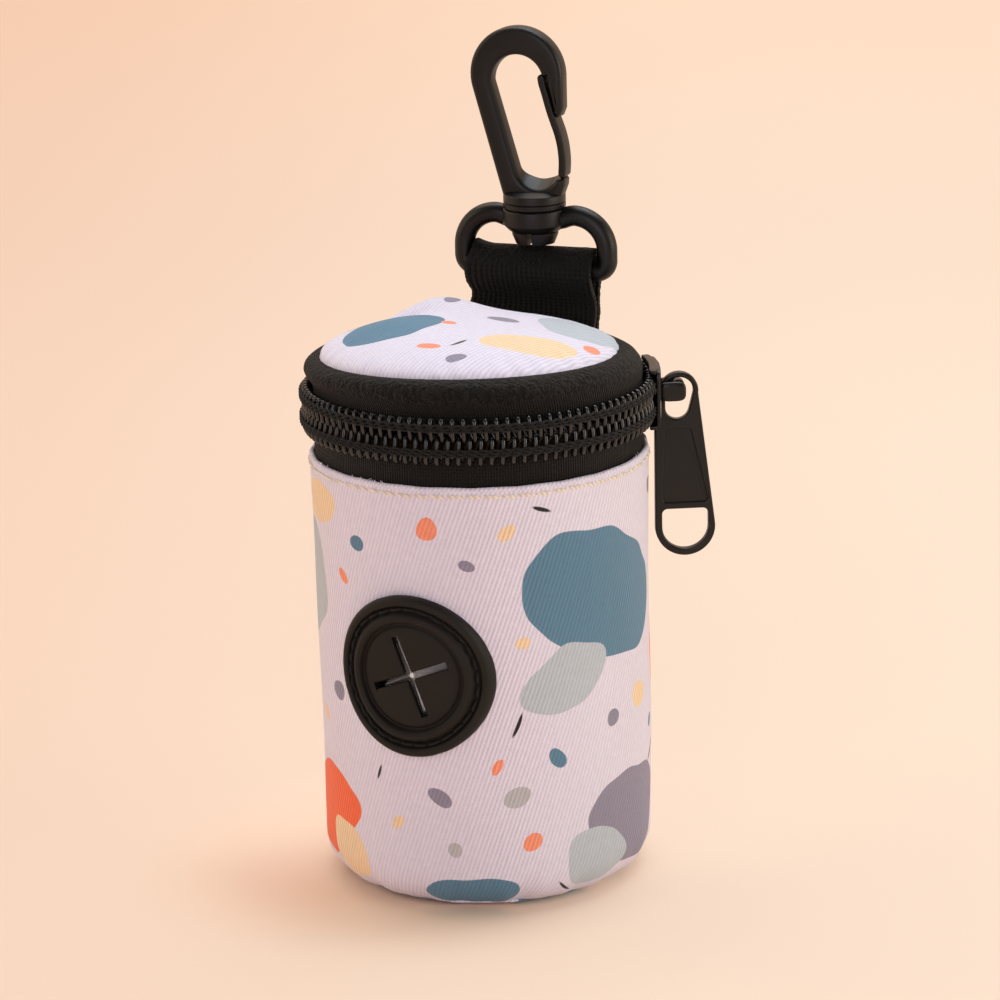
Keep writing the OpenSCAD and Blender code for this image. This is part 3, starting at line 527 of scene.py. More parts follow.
def lining_ripple(a, r, z):
    """Loose nylon: upright folds that fade at the hem and the base seam."""
    loose = np.clip((61 - z) / 10, 0, 1) * np.clip((z - 5) / 10, 0, 1)
    return -np.abs(loose * (0.35 * np.sin(9 * a + 0.05 * z) + 0.25 * np.sin(21 * a + 1))), 0


side_lining = moved(turned("side_lining_ply", lining_outline, np.arange(0, 360, 2), lining_ripple,
                           hole=8.2), ASIDE)


def woven(name, code, warp, weft, depth, roughness, sheen=0.25, lean=0.0, coarse=None):
    """Plain weave on the piece's own map: warp and weft threads of a real spacing in mm cross
    over and under, with a little unevenness and a matt, slightly dusty sheen. Above the coarse
    height in metres the cloth is crumpled and its filaments stand up."""
    made, tree, shader = begun(name)
    place = add(tree, "UVMap", uv_map="mm").outputs[0]
    place = add(tree, "Mapping", {0: place, 2: (0, 0, np.radians(lean))}).outputs[0]
    uneven = add(tree, "TexNoise", {"Vector": place, "Scale": 1.4, "Detail": 4.0,
                                    "Roughness": 0.7}).outputs[0]
    u, v, _ = add(tree, "SeparateXYZ", {0: place}).outputs
    u = add(tree, "Math", {0: u, 1: 2 * np.pi / warp}, operation="MULTIPLY").outputs[0]
    v = add(tree, "Math", {0: v, 1: np.pi / weft}, operation="MULTIPLY").outputs[0]
    half = add(tree, "Math", {0: u, 1: 0.5}, operation="MULTIPLY").outputs[0]
    rows = add(tree, "Math", {0: u}, operation="SINE").outputs[0]
    over = add(tree, "Math", {0: add(tree, "Math", {0: half}, operation="SINE").outputs[0],
                              1: add(tree, "Math", {0: v}, operation="SINE").outputs[0]},
                              operation="MULTIPLY").outputs[0]
    over = add(tree, "Math", {0: over}, operation="ABSOLUTE").outputs[0]
    height = add(tree, "Math", {0: over, 1: 1.3, 2: rows}, operation="MULTIPLY_ADD").outputs[0]
    height = add(tree, "Math", {0: uneven, 1: 1.6, 2: height}, operation="MULTIPLY_ADD").outputs[0]
    if coarse:
        where = add(tree, "TexCoord").outputs["Object"]
        up = add(tree, "SeparateXYZ", {0: where}).outputs[2]
        up = add(tree, "MapRange", {0: up, 1: coarse - 0.0007, 2: coarse + 0.0007}).outputs[0]
        crumple = add(tree, "TexNoise", {"Vector": where, "Scale": 1500.0, "Detail": 3.0,
                                         "Roughness": 0.65}).outputs[0]
        crumple = add(tree, "MapRange", {0: crumple, 1: 0.36, 2: 0.66, 3: -2.4, 4: 5.6}).outputs[0]
        height = add(tree, "Mix", {0: up, 2: height, 3: crumple}).outputs[0]
    # Painted light and shade: raised threads and crumpled filaments are drawn lighter and low parts
    # darker, with some random unevenness.
    shade = add(tree, "MapRange", {0: height, 1: -0.2, 2: 3.4, 3: 0.35, 4: 1.9}).outputs[0]
    colour = add(tree, "Mix", {0: 1.0, 6: linear(code), 7: shade}, data_type="RGBA",
                 blend_type="MULTIPLY").outputs[2]
    bump = add(tree, "Bump", {"Strength": 0.8, "Distance": depth * 0.001,
                              "Height": height}).outputs[0]
    feed(tree, shader, {"Base Color": colour, "Normal": bump, "Roughness": roughness,
                        "Sheen Weight": sheen,
                        "Sheen Roughness": 0.4, "Specular IOR Level": 0.22})
    return made


nylon = woven("grey_lining_nylon", "#4A4846", 0.35, 0.35, 0.03, 0.6)
fit(side_lining, "pouch", "lining", nylon, "side_lining")

# ---------------------------------------------------------------------------------------------
# Base. A disc of the printed twill sewn to the side, over a stiff board, with the same lining
# inside and a bound seam that runs round the corner.
edge = lambda d: arc(CORNER_X, CORNER_R, CORNER_R - d, -62.5, -90, 8)
inwards = lambda d: np.stack([np.linspace(16.2, 0, 16), np.full(16, d)], 1)
back = lambda d: np.concatenate([edge(d), inwards(d)])[::-1]
ply = lambda d0, d1: np.concatenate([edge(d0), inwards(d0), back(d1)])


def base_ripple(a, r, z):
    """The puckers of the base seam, dying out towards the flat middle."""
    return np.clip((r - 15) / 5, 0, 1) * (0.16 * np.sin(17 * a + 1) + 0.1 * np.sin(29 * a)), 0


base_twill = turned("base_twill", ply(0, 0.6), ROUND, base_ripple)
base_cloth = printed_twill("printed_polyester_twill_base", [
    (-4, -17.5, 7.5, 3.2, 6, MAUVE), (13, -12.5, 6, 4, 30, STEEL), (-14, 6, 6, 4, 60, CORAL),
    (6, 8, 7, 5, 20, PALE),
    (-3, -3, 2, 1.4, 0, SAND), (8, -4, 1.6, 1.1, 40, MAUVE), (-9, -8, 1.4, 1, 0, GREY),
    (-13, -14, 1.6, 0.3, 30, INK)], flat=True)
fit(base_twill, "pouch", "printed_twill", base_cloth, "base_panel")
board = turned("base_stiffener", ply(0.68, 2.62), np.arange(0, 360, 6))
fit(board, "pouch", "board", plain("grey_pulp_board", "#BDBDBB", 0.85, 0.5, 0.1), "base_board")
base_lining = turned("base_lining_ply", ply(2.7, 3.1), np.arange(0, 360, 3))
fit(base_lining, "pouch", "lining", nylon, "base_lining")
seam = np.concatenate([arc(CORNER_X, CORNER_R, 3.3, -41, -81, 8),
                       arc(CORNER_X, CORNER_R, 2.25, -81, -41, 8)])
base_binding = turned("base_seam_binding", seam, np.arange(0, 360, 2),
                      lambda a, r, z: (0.1 * np.sin(60 * a) * (r < 19.2), 0.08 * np.sin(60 * a)))
binding_tape = woven("black_binding_tape", "#1A1817", 0.5, 0.5, 0.05, 0.75)
fit(base_binding, "pouch", "binding_tape", binding_tape, "base_binding")

# ---------------------------------------------------------------------------------------------
# Lower zipper tape. Black polyester woven close, with fine upright ribs, sewn in behind the hem.
# It stands straight up and carries the lower row of the coil.
ZIP = np.linspace(120, 420, 601)
tape_outline = spaced(np.array([[22.6, 57.25], [23.2, 57.25], [23.2, 68.2], [23.05, 68.3],
                                [22.75, 68.3], [22.6, 68.2]]), 0.9)
lower_tape = turned("lower_zipper_tape", tape_outline, ZIP, lambda a, r,
                    z: (0.05 * np.sin(11 * a + 0.3 * z) * (z < 65) * (z > 61), 0))
tape_cloth = woven("black_zipper_tape", "#130F0B", 0.4, 0.5, 0.1, 0.8, 0.05, coarse=0.0738)
fit(lower_tape, "pouch", "zipper_tape", tape_cloth, "lower_tape")

# ---------------------------------------------------------------------------------------------
# Coil zipper. Each row is one nylon filament 0.6 mm thick wound into curls 1.5 mm apart, flat on
# the outside. The heads of the two rows lock between each other, and part at the slider's post.
CURLS, CHAIN_Z = 84, 69.0
SLIDER_TURN, POST_TURN = 25.0, 8.27


def squared(x, p):
    """A sine or cosine made fuller, so that its circle turns squarer: its size to the power p."""
    return np.sign(x) * np.abs(x) ** p


def curl_angle(u, side):
    """Angle of curl u in radians: the lower row lies half a pitch further on than the upper."""
    return np.radians(121.2 + 296.6 * (u + (0 if side > 0 else 0.5)) / (CURLS + 0.5))


def parted(angle):
    """How far the rows are parted, 0 to 1: a cosine hump 10 degrees to each side of the post."""
    off = np.abs((np.degrees(angle) - SLIDER_TURN - POST_TURN + 180) % 360 - 180)
    return np.where(off < 10, np.cos(np.radians(90 * np.minimum(off, 10) / 10)) ** 1.2, 0)


def coil_row(side):
    """Middle of a row's filament. Once round a curl it runs straight up the outside, over the
    edge and slanting down the inside to the next curl: a flattened ellipse, one pitch along."""
    u = np.linspace(0, CURLS, CURLS * 20 + 1)
    w = 2 * np.pi * u
    angle = curl_angle(u - 0.24 * np.sin(w), side)
    head = CHAIN_Z + side * (-0.42 + 1.0 * parted(angle))
    foot = CHAIN_Z + side * (3.1 + (0.55 if side < 0 else 0) + 0.3 * parted(angle))
    z = (head + foot) / 2 + (foot - head - side * 0.6) / 2 * squared(np.sin(w), 0.85)
    r = 24.15 + 0.52 * squared(np.cos(w), 0.75)
    return np.stack([r * np.cos(angle), r * np.sin(angle), z], 1)


nylon_coil = plain("black_nylon_monofilament", "#12100F", 0.28, 0.5, 0.01, Specular_IOR_Level=0.6)
stitching = thread("black_polyester_thread", "#0E0C0B", 0.9)
for side, body, name, tape in ((-1, "pouch", "lower", "lower_coil"),
                               (1, "lid", "upper", "upper_coil")):
    row = strand(name + "_coil_row", coil_row(side)[None], 0.31, 8)
    fit(row, body, "zipper_coil", nylon_coil, tape)
    # the chain stitch that sews the row down lies across its curls in three close lines
    knots = []
    for level in (1.35, 1.72, 2.1):
        u = np.linspace(0.4, CURLS - 0.4, CURLS * 10)
        angle = curl_angle(u, side)
        r = 24.98 + 0.09 * np.cos(2 * np.pi * u + 3 * level)
        z = CHAIN_Z + side * (level + 0.5 * parted(angle)) + 0.08 * np.sin(2 * np.pi * u + 5
                * level)
        knots.append(np.stack([r * np.cos(angle), r * np.sin(angle), z], 1))
    fit(strand(name + "_coil_stitches", np.stack(knots), 0.19, 6), body, "black_thread", stitching)

# ---------------------------------------------------------------------------------------------
# Upper zipper tape. The same tape, up from the chain and rolled over outwards before it meets
# the lid, where its ribbed edge lies on the twill. The whole lid leans a little to the left.
def smooth(points, n):
    """A smooth curve through points: cubic pieces whose slope at each point is that from the
    point before it to the point after it."""
    p = np.concatenate([[2 * points[0] - points[1]], points, [2 * points[-1] - points[-2]]])
    t = np.linspace(0, len(points) - 1, n)
    i = np.minimum(t.astype(int), len(points) - 2)
    f = (t - i)[:, None]
    a, b, c, d = p[i], p[i + 1], p[i + 2], p[i + 3]
    return 0.5 * (2 * b + (c - a) * f + (2 * a - 5 * b + 4 * c - d) * f ** 2
                  + (3 * b - a - 3 * c + d) * f ** 3)


def thick(line, t):
    """Closed outline of a ply of thickness t about a middle line, square to it at every point."""
    along = np.gradient(line, axis=0)
    normal = np.stack([along[:, 1], -along[:, 0]], 1) / np.linalg.norm(along, axis=1)[:, None]
    return np.concatenate([line + normal * t / 2, (line - normal * t / 2)[::-1]])


def lean(points):
    """The lid's lean: cloth above the chain shifts up to 1.5 mm to the left of the picture, less
    towards the hinge, and sinks by 0.6 mm in front, 1.7 in the middle and 2.1 at the back."""
    x, y, z = points[..., 0], points[..., 1], points[..., 2]
    rise = np.clip((z - 72.5) / 4.5, 0, 1) * 1.1 + np.clip((z - 77) / 5, 0, 1) * 0.4
    hold = np.clip((21 - y) / 16, 0, 1)
    w = np.clip(0.934 * y - 0.358 * x, -23, 23)
    sink = np.clip((z - 72) / 4, 0, 1) * (1.7 + 0.0357 * w - 0.00079 * w ** 2)
    return points + np.stack([-0.934 * rise * hold, -0.358 * rise * hold, -sink], -1)


def reshaped(made, change):
    """Runs every point of a finished mesh, in mm, through a change of shape."""
    points = np.zeros(len(made.data.vertices) * 3)
    made.data.vertices.foreach_get("co", points)
    made.data.vertices.foreach_set("co", (change(points.reshape(-1, 3) * 1000) * 0.001).ravel())
    made.data.update()


tape_line = smooth(np.array([[22.9, 69.75], [22.9, 71.4], [23.1, 73.0], [23.35, 74.4],
                             [23.35, 75.5], [23.0, 76.35],
                             [22.4, 76.8], [21.7, 77.0], [20.75, 77.05]]), 34)


def tape_ripple(a, r, z):
    """Small waves along the roll, and a ribbed edge where the tape meets the twill."""
    roll = np.clip((z - 73) / 2, 0, 1) * np.clip((r - 21.5) / 1.2, 0, 1)
    teeth = np.clip((21.2 - r) / 0.4, 0, 1)
    dr = roll * (0.09 * np.sin(5 * a + 1) + 0.05 * np.sin(13 * a)) + teeth * 0.2 * np.sin(150 * a)
    return dr, roll * 0.1 * np.sin(4 * a + 2)


upper_tape = turned("upper_zipper_tape", thick(tape_line, 0.58), np.linspace(120, 420, 1201),
                    tape_ripple)
reshaped(upper_tape, lean)
fit(upper_tape, "lid", "zipper_tape", tape_cloth, "upper_tape")

# ---------------------------------------------------------------------------------------------
# Hinge. A folded piece of the same tape at the back covers both ends of the zipper, where the lid
# opens.
hinge_line = smooth(np.array([[22.9, 57.4], [22.9, 62], [22.9, 68], [22.9, 72], [22.9, 75.4],
                              [22.4, 76.7], [21.0, 76.95]]), 40)
gusset = turned("hinge_gusset", thick(hinge_line, 0.58), np.linspace(60.02, 119.98, 90))
reshaped(gusset, lean)
gusset.data.materials.append(tape_cloth)
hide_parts("lower_hinge", "upper_hinge")
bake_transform(gusset)

# ---------------------------------------------------------------------------------------------
# Lid. A padded dome of the printed twill over foam and lining, gathered a little where it is sewn
# to the tape. Inside, the seam is bound with black tape.
def dome_z(r):
    """Height of the dome: a half ellipse over its seam."""
    return 77 + 4.95 * np.maximum(0, 1 - (r / 21) ** 2) ** 0.52


def dome_outline(d0, d1, r):
    """Closed outline of one ply of the dome, from depth d0 to d1, out to radius r."""
    a = r * np.sin(np.linspace(0, np.pi / 2, 60))
    return np.concatenate([np.stack([a, dome_z(a) - d0], 1),
                           np.stack([a, dome_z(a) - d1], 1)[::-1]])


def dome_ripple(a, r, z):
    """The dome is fullest behind and left of its middle. A soft crease divides that crown from the
    part in front, and gathers lie along the seam, one every 3 mm or so."""
    x, y = r * np.cos(a), r * np.sin(a)
    u, w = 0.934 * x + 0.358 * y, 0.934 * y - 0.358 * x
    inside = np.maximum(0, 1 - (r / 21) ** 2) ** 0.52
    soft = np.sqrt(inside)
    hump = lambda at_u, at_w, wide_u, wide_w: np.exp(-((u - at_u) / wide_u) ** 2
                                                     - ((w - at_w) / wide_w) ** 2) * soft
    crown = 2.3 * hump(-3.6, 9.5, 6.0, 6.0) + 0.9 * hump(-11, -1.5, 6, 5) - 1.0 * hump(-13, 10, 4,
            6)
    crease = 1.1 * np.exp(-((w - 4.2 + 0.12 * u) / 1.6) ** 2) * np.clip((-u - 2) / 5, 0, 1) * soft
    gather = np.clip((r - 14) / 7, 0, 1) ** 3 * (0.12 * np.sin(43 * a) + 0.1 * np.sin(31 * a + 2))
    return 0, crown - crease + gather - 0.037 * u * inside


dome = turned("lid_dome", dome_outline(0, 0.6, 20.98), ROUND, dome_ripple)
reshaped(dome, lean)
lid_cloth = printed_twill("printed_polyester_twill_lid", [
    (-10, -7, 7.5, 5.0, 40, STEEL), (10.5, -8, 6.5, 4.2, 20, SAND), (-13, 12, 6, 4.5, -30, CORAL),
    (13, 8, 6, 8, 20, PALE),
    (-1.5, -14.5, 1.6, 1.1, 10, CORAL), (3.2, 2.4, 2.0, 1.4, 20, MAUVE),
    (-17.2, 1.5, 1.8, 1.3, 50, GREY), (-1, 14, 3, 2.2, 0, STEEL),
    (3.6, -17.4, 1.3, 0.9, 40, MAUVE), (-2.6, -4.4, 1.2, 0.85, -30, CORAL),
    (17.6, -2.2, 1.5, 1.1, 60, CORAL), (-5.5, 6.2, 1.5, 1.1, 70, MAUVE),
    (1.8, -11.9, 1.7, 0.3, 62, INK), (-16.2, -4.6, 1.5, 0.28, 30, INK),
    (6.2, 15.4, 1.7, 0.3, -20, INK)], flat=True)
fit(dome, "lid", "printed_twill", lid_cloth, "lid_panel")
lid_foam = turned("lid_foam_ply", dome_outline(0.68, 2.62, 20.35), np.arange(0, 360, 5))
reshaped(lid_foam, lean)
fit(lid_foam, "lid", "foam", foam, "lid_foam")
lid_lining = turned("lid_lining_ply", dome_outline(2.7, 3.1, 20.35), np.arange(0, 360, 3),
                    lambda a, r, z: (0, -np.abs(0.3 * np.sin(0.31 * r * np.cos(a - 0.4) + 1)
                                                * np.sin(0.22 * r * np.sin(a - 0.4)))))
reshaped(lid_lining, lean)
fit(lid_lining, "lid", "lining", nylon, "lid_lining")
lid_binding = turned("lid_seam_binding", np.concatenate([arc(20.85, 76.0, 0.38, 0, 180, 6),
                                                         arc(20.85, 74.5, 0.38, 180, 360, 6)]),
                     np.arange(0, 360, 2), lambda a, r,
                     z: (0.08 * np.sin(50 * a), 0.06 * np.sin(50 * a)))
reshaped(lid_binding, lean)
fit(lid_binding, "lid", "binding_tape", binding_tape, "lid_binding")

# ---------------------------------------------------------------------------------------------
# Outlet. One moulding of black rubber, bent to the side: a soft round rim, a groove for the
# stitches, a low ridge and a sunk middle cut by a cross, so that four flaps let a bag through.
SLIT_HALF, SLIT_END, TURN = 0.5, 6.0, 21.0
heights = smooth(np.array([
    [6.0, 0.86], [7.0, 0.84], [7.35, 0.62], [7.65, 0.62], [8.0, 1.28], [8.5, 1.56], [8.95, 1.4],
    [9.25, 1.08], [9.5, 0.8],
    [9.8, 0.7], [10.1, 0.84], [10.3, 1.25], [10.6, 1.46], [11.05, 1.44], [11.35, 1.2],
    [11.58, 0.75], [11.6, 0.1]]), 64)
first = np.degrees(np.arcsin(SLIT_HALF / SLIT_END))
spokes = np.concatenate([q * 90 + np.linspace(first, 90 - first, 40) for q in range(4)])


def on_side(x, z, height):
    """A point of the rubber, x across and z up from its middle, a height above the twill."""
    r = side_r(OUTLET_Z + z) + height
    return np.stack([x, -np.sqrt(r ** 2 - x ** 2), OUTLET_Z + z], -1)


def ring_grid(rho, height, angle):
    """Rings of radius rho about the outlet's middle, turned with the cross."""
    a = np.radians(angle + TURN)
    return on_side(rho * np.cos(a), rho * np.sin(a), height)


def joined(pieces):
    """Joins several meshes into the first one."""
    bpy.ops.object.select_all(action="DESELECT")
    for piece in pieces:
        piece.select_set(True)
    bpy.context.view_layer.objects.active = pieces[0]
    bpy.ops.object.join()
    return pieces[0]


rubber_rings = ring_grid(heights[:, :1], heights[:, 1:], spokes[None])
under = ring_grid(np.linspace(11.6, 6, 12)[:, None], 0.06, spokes[None])
rim = surface("outlet_rubber", np.concatenate([rubber_rings, under]), True, True)
flaps = [rim]
for q in range(4):
    rho = np.linspace(0.86, 6.0, 22)[:, None]
    lip = np.degrees(np.arcsin(np.minimum(SLIT_HALF / rho, 1)))
    share = np.linspace(0, 1, 40)[None]
    angle = q * 90 + lip + share * (90 - 2 * lip)
    edge_near = np.minimum(rho * np.radians(share * (90 - 2 * lip)),
                           rho * np.radians((1 - share) * (90 - 2 * lip)))
    dip = 0.86 - 0.16 * np.exp(-edge_near / 0.12) - 0.12 * (1 - rho / 6) ** 2
    top, low = ring_grid(rho, dip, angle), ring_grid(rho, 0.02 * rho, angle)
    wrap = np.concatenate([top, low[:, ::-1]], 1)
    flaps.append(surface("flap", wrap, False, True, caps=True))
tidy(joined(flaps), 50)
moved(rim, ASIDE)
rubber = plain("black_moulded_rubber", "#17120D", 0.62, 0.25, 0.02, Specular_IOR_Level=0.28)
fit(rim, "pouch", "outlet_rubber", rubber, "outlet_patch")

t = np.linspace(0, 1, 9)
a = (np.arange(30)[:, None] + 0.08 + 0.84 * t) * 12
rho = 9.8 + 0.07 * np.sin(np.radians(a) * 7)
knot = ring_grid(rho, 0.84 + 0.36 * np.sin(np.pi * t) ** 0.6, a)
outlet_stitches = moved(strand("outlet_stitches", knot, 0.2), ASIDE)
fit(outlet_stitches, "pouch", "black_thread", stitching, "outlet_thread")

# ---------------------------------------------------------------------------------------------
# Roll of bags. White polyethylene film wound on a paper core, its end face ridged by the edges
# of the layers. The end of the first bag is drawn into the cross behind the rubber.
def roll_ripple(a, r, z):
    """Edges of the film stand a little proud or sunk on the two ends, and the outer wrap steps in
    where the last bag ends."""
    end = np.minimum(z - 3.25, 61.25 - z)
    fringe = np.where(end < 0.01, 0.14 * np.sin(r * 9.0 + 0.4 * np.sin(3 * a))
                      * np.sin(r * 2.3 + a) - 0.14, 0)
    wound = np.where(r > 15.5, -0.14 * (a % (2 * np.pi)) / (2 * np.pi), 0)
    return wound, np.where(z > 30, fringe, -fringe)


roll_outline = np.concatenate([np.stack([np.linspace(7.1, 15.8, 40), np.full(40, 61.25)], 1),
                               [[16, 61.05], [16, 45], [16, 20], [16, 3.45]],
                               np.stack([np.linspace(15.8, 7.1, 40), np.full(40, 3.25)], 1)])
bag_roll = turned("rolled_bags", roll_outline, np.arange(0, 360, 3), roll_ripple)
film = plain("white_polyethylene_film", "#EFEDEA", 0.4, 0.8, 0.12, Specular_IOR_Level=0.5)
fit(bag_roll, "roll", "bag_film", film, "bag_roll")
core_outline = np.concatenate([arc(6.4, 61.0, 0.55, 180, 0, 6), arc(6.4, 3.5, 0.55, 0, -180, 6)])
core = turned("paper_core", core_outline, np.arange(0, 360, 4))
fit(core, "roll", "core_paper", plain("grey_brown_core_board", "#B89B72", 0.85, 0.4, 0.08),
    "roll_core")

u, v = np.meshgrid(np.linspace(0, 1, 60), np.radians(np.arange(0, 360, 2)), indexing="ij")
gather = 0.35 + 5.2 * u
crease = 1 + 0.06 * np.sin(7 * v) * (0.4 + u)
fold = sum(np.maximum(0, np.cos(v - np.radians(middle))) ** 150 for middle in (119, 206, 283))
back = 23.5 - 5.4 * u ** 0.62 * (1 - 0.84 * fold) + 0.1 * np.sin(9 * v + 3 * u)
tip = np.stack([gather * crease * np.cos(v), -np.sqrt(back ** 2
                                                      - (gather * crease * np.cos(v)) ** 2),
                                                      35 + gather * crease * np.sin(v)], 2)
bag_end = surface("first_bag_end", tip, False, True, caps=True)
tidy(bag_end, 70)
moved(bag_end, ASIDE)
fit(bag_end, "pouch", "bag_film", film)

# ---------------------------------------------------------------------------------------------
# Strap. One length of black webbing 20 mm wide and 1.4 mm thick, sewn flat on the back of the
# lid, up, round the ring's bar and down again. Its left edge curls up at the ring's corner.
bar_y, bar_z = 25.0, 82.5
web_line = smooth(np.concatenate([
    [[24.22, 70.2], [24.22, 73], [24.22, 76.2], [24.2, 78.2]],
    arc(bar_y, bar_z, 2.62, 205, -25, 10),
    [[25.8, 78.2], [25.74, 76.2], [25.74, 73], [25.74, 70.2]]]), 150)
share = np.linspace(0, 1, len(web_line))
t = np.radians(np.arange(0, 360, 360 / 96))
along = np.gradient(web_line, axis=0)
normal = np.stack([along[:, 1], -along[:, 0]], 1) / np.linalg.norm(along, axis=1)[:, None]
up = np.clip((web_line[:, 1] - 76.5) / 3, 0, 1)
half = 9.95 - 0.68 * up
x = half[:, None] * squared(np.cos(t), 0.12)[None] + 0.04 * np.sin(share * 400)[:,
        None] * np.cos(t)[None]
off = 0.68 * squared(np.sin(t), 0.35)[None] + 0 * x
y = web_line[:, :1] + normal[:, :1] * off
z = web_line[:, 1:] + normal[:, 1:] * off
crown = np.clip((web_line[:, 1:] - 83) / 2, 0, 1)
curl = np.clip((-x - 6.3) / 3, 0, 1) ** 2 * 1.1 + np.clip((x - 8.2) / 1.1, 0, 1) ** 2 * 0.25
dip = 0.8 * np.exp(-((x + 4.8) / 1.1) ** 2) * (off < 0)
z = z + crown * (curl - dip + 0.12 * np.sin(x * 0.9 + 1) * (np.abs(x) < 9.4))
front = np.clip((24.4 - web_line[:, :1]) / 1.5, 0, 1) * np.clip((84.4 - web_line[:, 1:]) / 1.2, 0,
        1) * np.clip((web_line[:, 1:] - 78) / 2, 0, 1)
x = x - front * 1.0 * np.clip((-x - 6) / 4, 0, 1)


def hugged(x, y, z):
    """How far the strap bends in towards the round lid: it is sewn down along the curve of the
    tape, and flat from 79 mm up."""
    return y - (24 - np.sqrt(24 ** 2 - x ** 2)) * np.clip((79 - z) / 4, 0, 1)


y = hugged(x, y, z)
length = np.concatenate([[0], np.cumsum(np.linalg.norm(np.diff(web_line, axis=0), axis=1))])
uv = np.stack([np.append(x[0], x[0, :1])[None] + 0 * length[:, None],
               length[:, None] + 0 * np.append(t, 0)[None]], 2)
webbing = surface("strap_webbing", np.stack([x, y, z], 2), False, True, uv, caps=True)
tidy(webbing, 60)
web_cloth = woven("black_polypropylene_webbing", "#050403", 0.8, 0.6, 0.16, 0.7, 0.01,
                  coarse=0.0838)
webbing.data.materials.append(web_cloth)
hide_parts("strap_root", "strap_loop")
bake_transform(webbing)


def stitch_rows(name, rows, count, radius=0.17):
    """Rows of stitches straight across the strap: each row has its half width, y and z, and the
    stitches bow out from the webbing's face by the row's last value."""
    t = np.linspace(0, 1, 7)
    x = ((np.arange(count)[:, None] + 0.1 + 0.8 * t) / count * 2 - 1)
    paths = [np.stack([x * w, hugged(x * w, y + bow * np.sin(np.pi * t)[None] ** 0.6, z),
                       z + 0 * x], 2) for w, y, z, bow in rows]
    return strand(name, np.concatenate(paths), radius)


root_stitches = stitch_rows("root_stitches", [(8.9, 26.38, 74.9, 0.2), (8.9, 26.38, 71.3, 0.2)], 9)
fit(root_stitches, "lid", "black_thread", stitching, "root_thread")
strap_stitches = stitch_rows("strap_stitches",
                             [(8.2, 26.55, 79.45, 0.2), (8.2, 23.45, 79.45, -0.2)], 8)
fit(strap_stitches, "strap", "black_thread", stitching, "strap_thread")

# ---------------------------------------------------------------------------------------------
# D ring. Moulded acetal, a round bar 3 mm thick with a boss in its top bar that the hook's pin
# turns in. The arms run into the boss a little low, so that its flat top stays clear.
corner = lambda x, z, r, a0, a1: arc(x, z, r, a0, a1, 10)
half_ring = np.concatenate([[[3.3, 89.9], [4.2, 90.05], [5.2, 90.4]],
                            corner(6.0, 85.55, 5.0, 90, 0), [[11.0, 84.9]],
                            corner(9.3, 84.2, 1.7, 0, -90), [[6, 82.5], [3, 82.5]]])
ring_path = smooth(np.concatenate([half_ring, [[0, 82.5]], (half_ring * [-1, 1])[::-1]]), 220)
ring_3d = np.stack([ring_path[:, 0], np.full(len(ring_path), bar_y), ring_path[:, 1]], 1)
ring_rod = strand("ring_rod", ring_3d[None], 1.5, 24)


def spun(name, outline, n=72):
    """Turns a closed outline of (radius, height) about the hook's upright pin."""
    a = np.radians(np.arange(0, 360, 360 / n))[:, None]
    points = np.stack([outline[:, 0] * np.cos(a), bar_y + outline[:, 0] * np.sin(a),
                       outline[:, 1] + 0 * a], 2)
    made = surface(name, points, True, True)
    tidy(made, 35)
    return made


boss = spun("ring_boss", np.concatenate([
    [[2.05, 88.4], [2.2, 88.25]], arc(3.5, 88.75, 0.5, -90, -45, 4),
    arc(4.3, 89.35, 0.35, -45, 0, 4), arc(4.4, 91.2, 0.25, 0, 90, 5),
    [[2.2, 91.45], [2.05, 91.3]]]))


d_ring = joined([ring_rod, boss])
acetal = plain("black_moulded_acetal", "#0C0806", 0.4, 0.3, 0.012, Specular_IOR_Level=0.3)
fit(d_ring, "ring", "black_plastic", acetal, "d_ring")

# ---------------------------------------------------------------------------------------------
# Swivel hook. One moulding of the same acetal: a flat body 3.2 mm thick with rounded edges, a
# round collar on the boss, and a split pin with barbs that snapped through the boss.
EYE_C, EYE_R, HOLE_R = (-2.05, 110.9), 7.05, 3.95
HEEL_X, HEEL_Z, HEEL_R = 0.95, 97.75, 3.3
gate_root = np.array([4.7, 96.8])
span, reach = EYE_C[1] - 0.3 - 96.8, 4.7 + 2.05 - HOLE_R + 0.05
nose = 0.4275 * span


def plate(name, outlines, thickness, bevel):
    """A flat plate in X and Z, filled between its outlines, with edges rounded to the bevel."""
    flat = bpy.data.curves.new(name, "CURVE")
    flat.dimensions, flat.fill_mode = "2D", "BOTH"
    flat.extrude, flat.bevel_depth = (thickness / 2 - bevel) * 0.001, bevel * 0.001
    flat.bevel_resolution, flat.offset = 4, -bevel * 0.001
    for outline in outlines:
        spline = flat.splines.new("POLY")
        spline.points.add(len(outline) - 1)
        flattened = np.pad(outline * 0.001, ((0, 0), (0, 2))).astype(np.float32)
        spline.points.foreach_set("co", flattened.ravel())
        spline.use_cyclic_u = True
    drawn = bpy.data.objects.new(name, flat)
    bpy.context.scene.collection.objects.link(drawn)
    bpy.context.view_layer.update()
    graph = bpy.context.evaluated_depsgraph_get()
    mesh = bpy.data.meshes.new_from_object(drawn.evaluated_get(graph))
    bpy.data.objects.remove(drawn)
    mesh.transform(Matrix.Rotation(np.pi / 2, 4, "X"))
    made = bpy.data.objects.new(name, mesh)
    bpy.context.scene.collection.objects.link(made)
    tidy(made, 32)
    return made


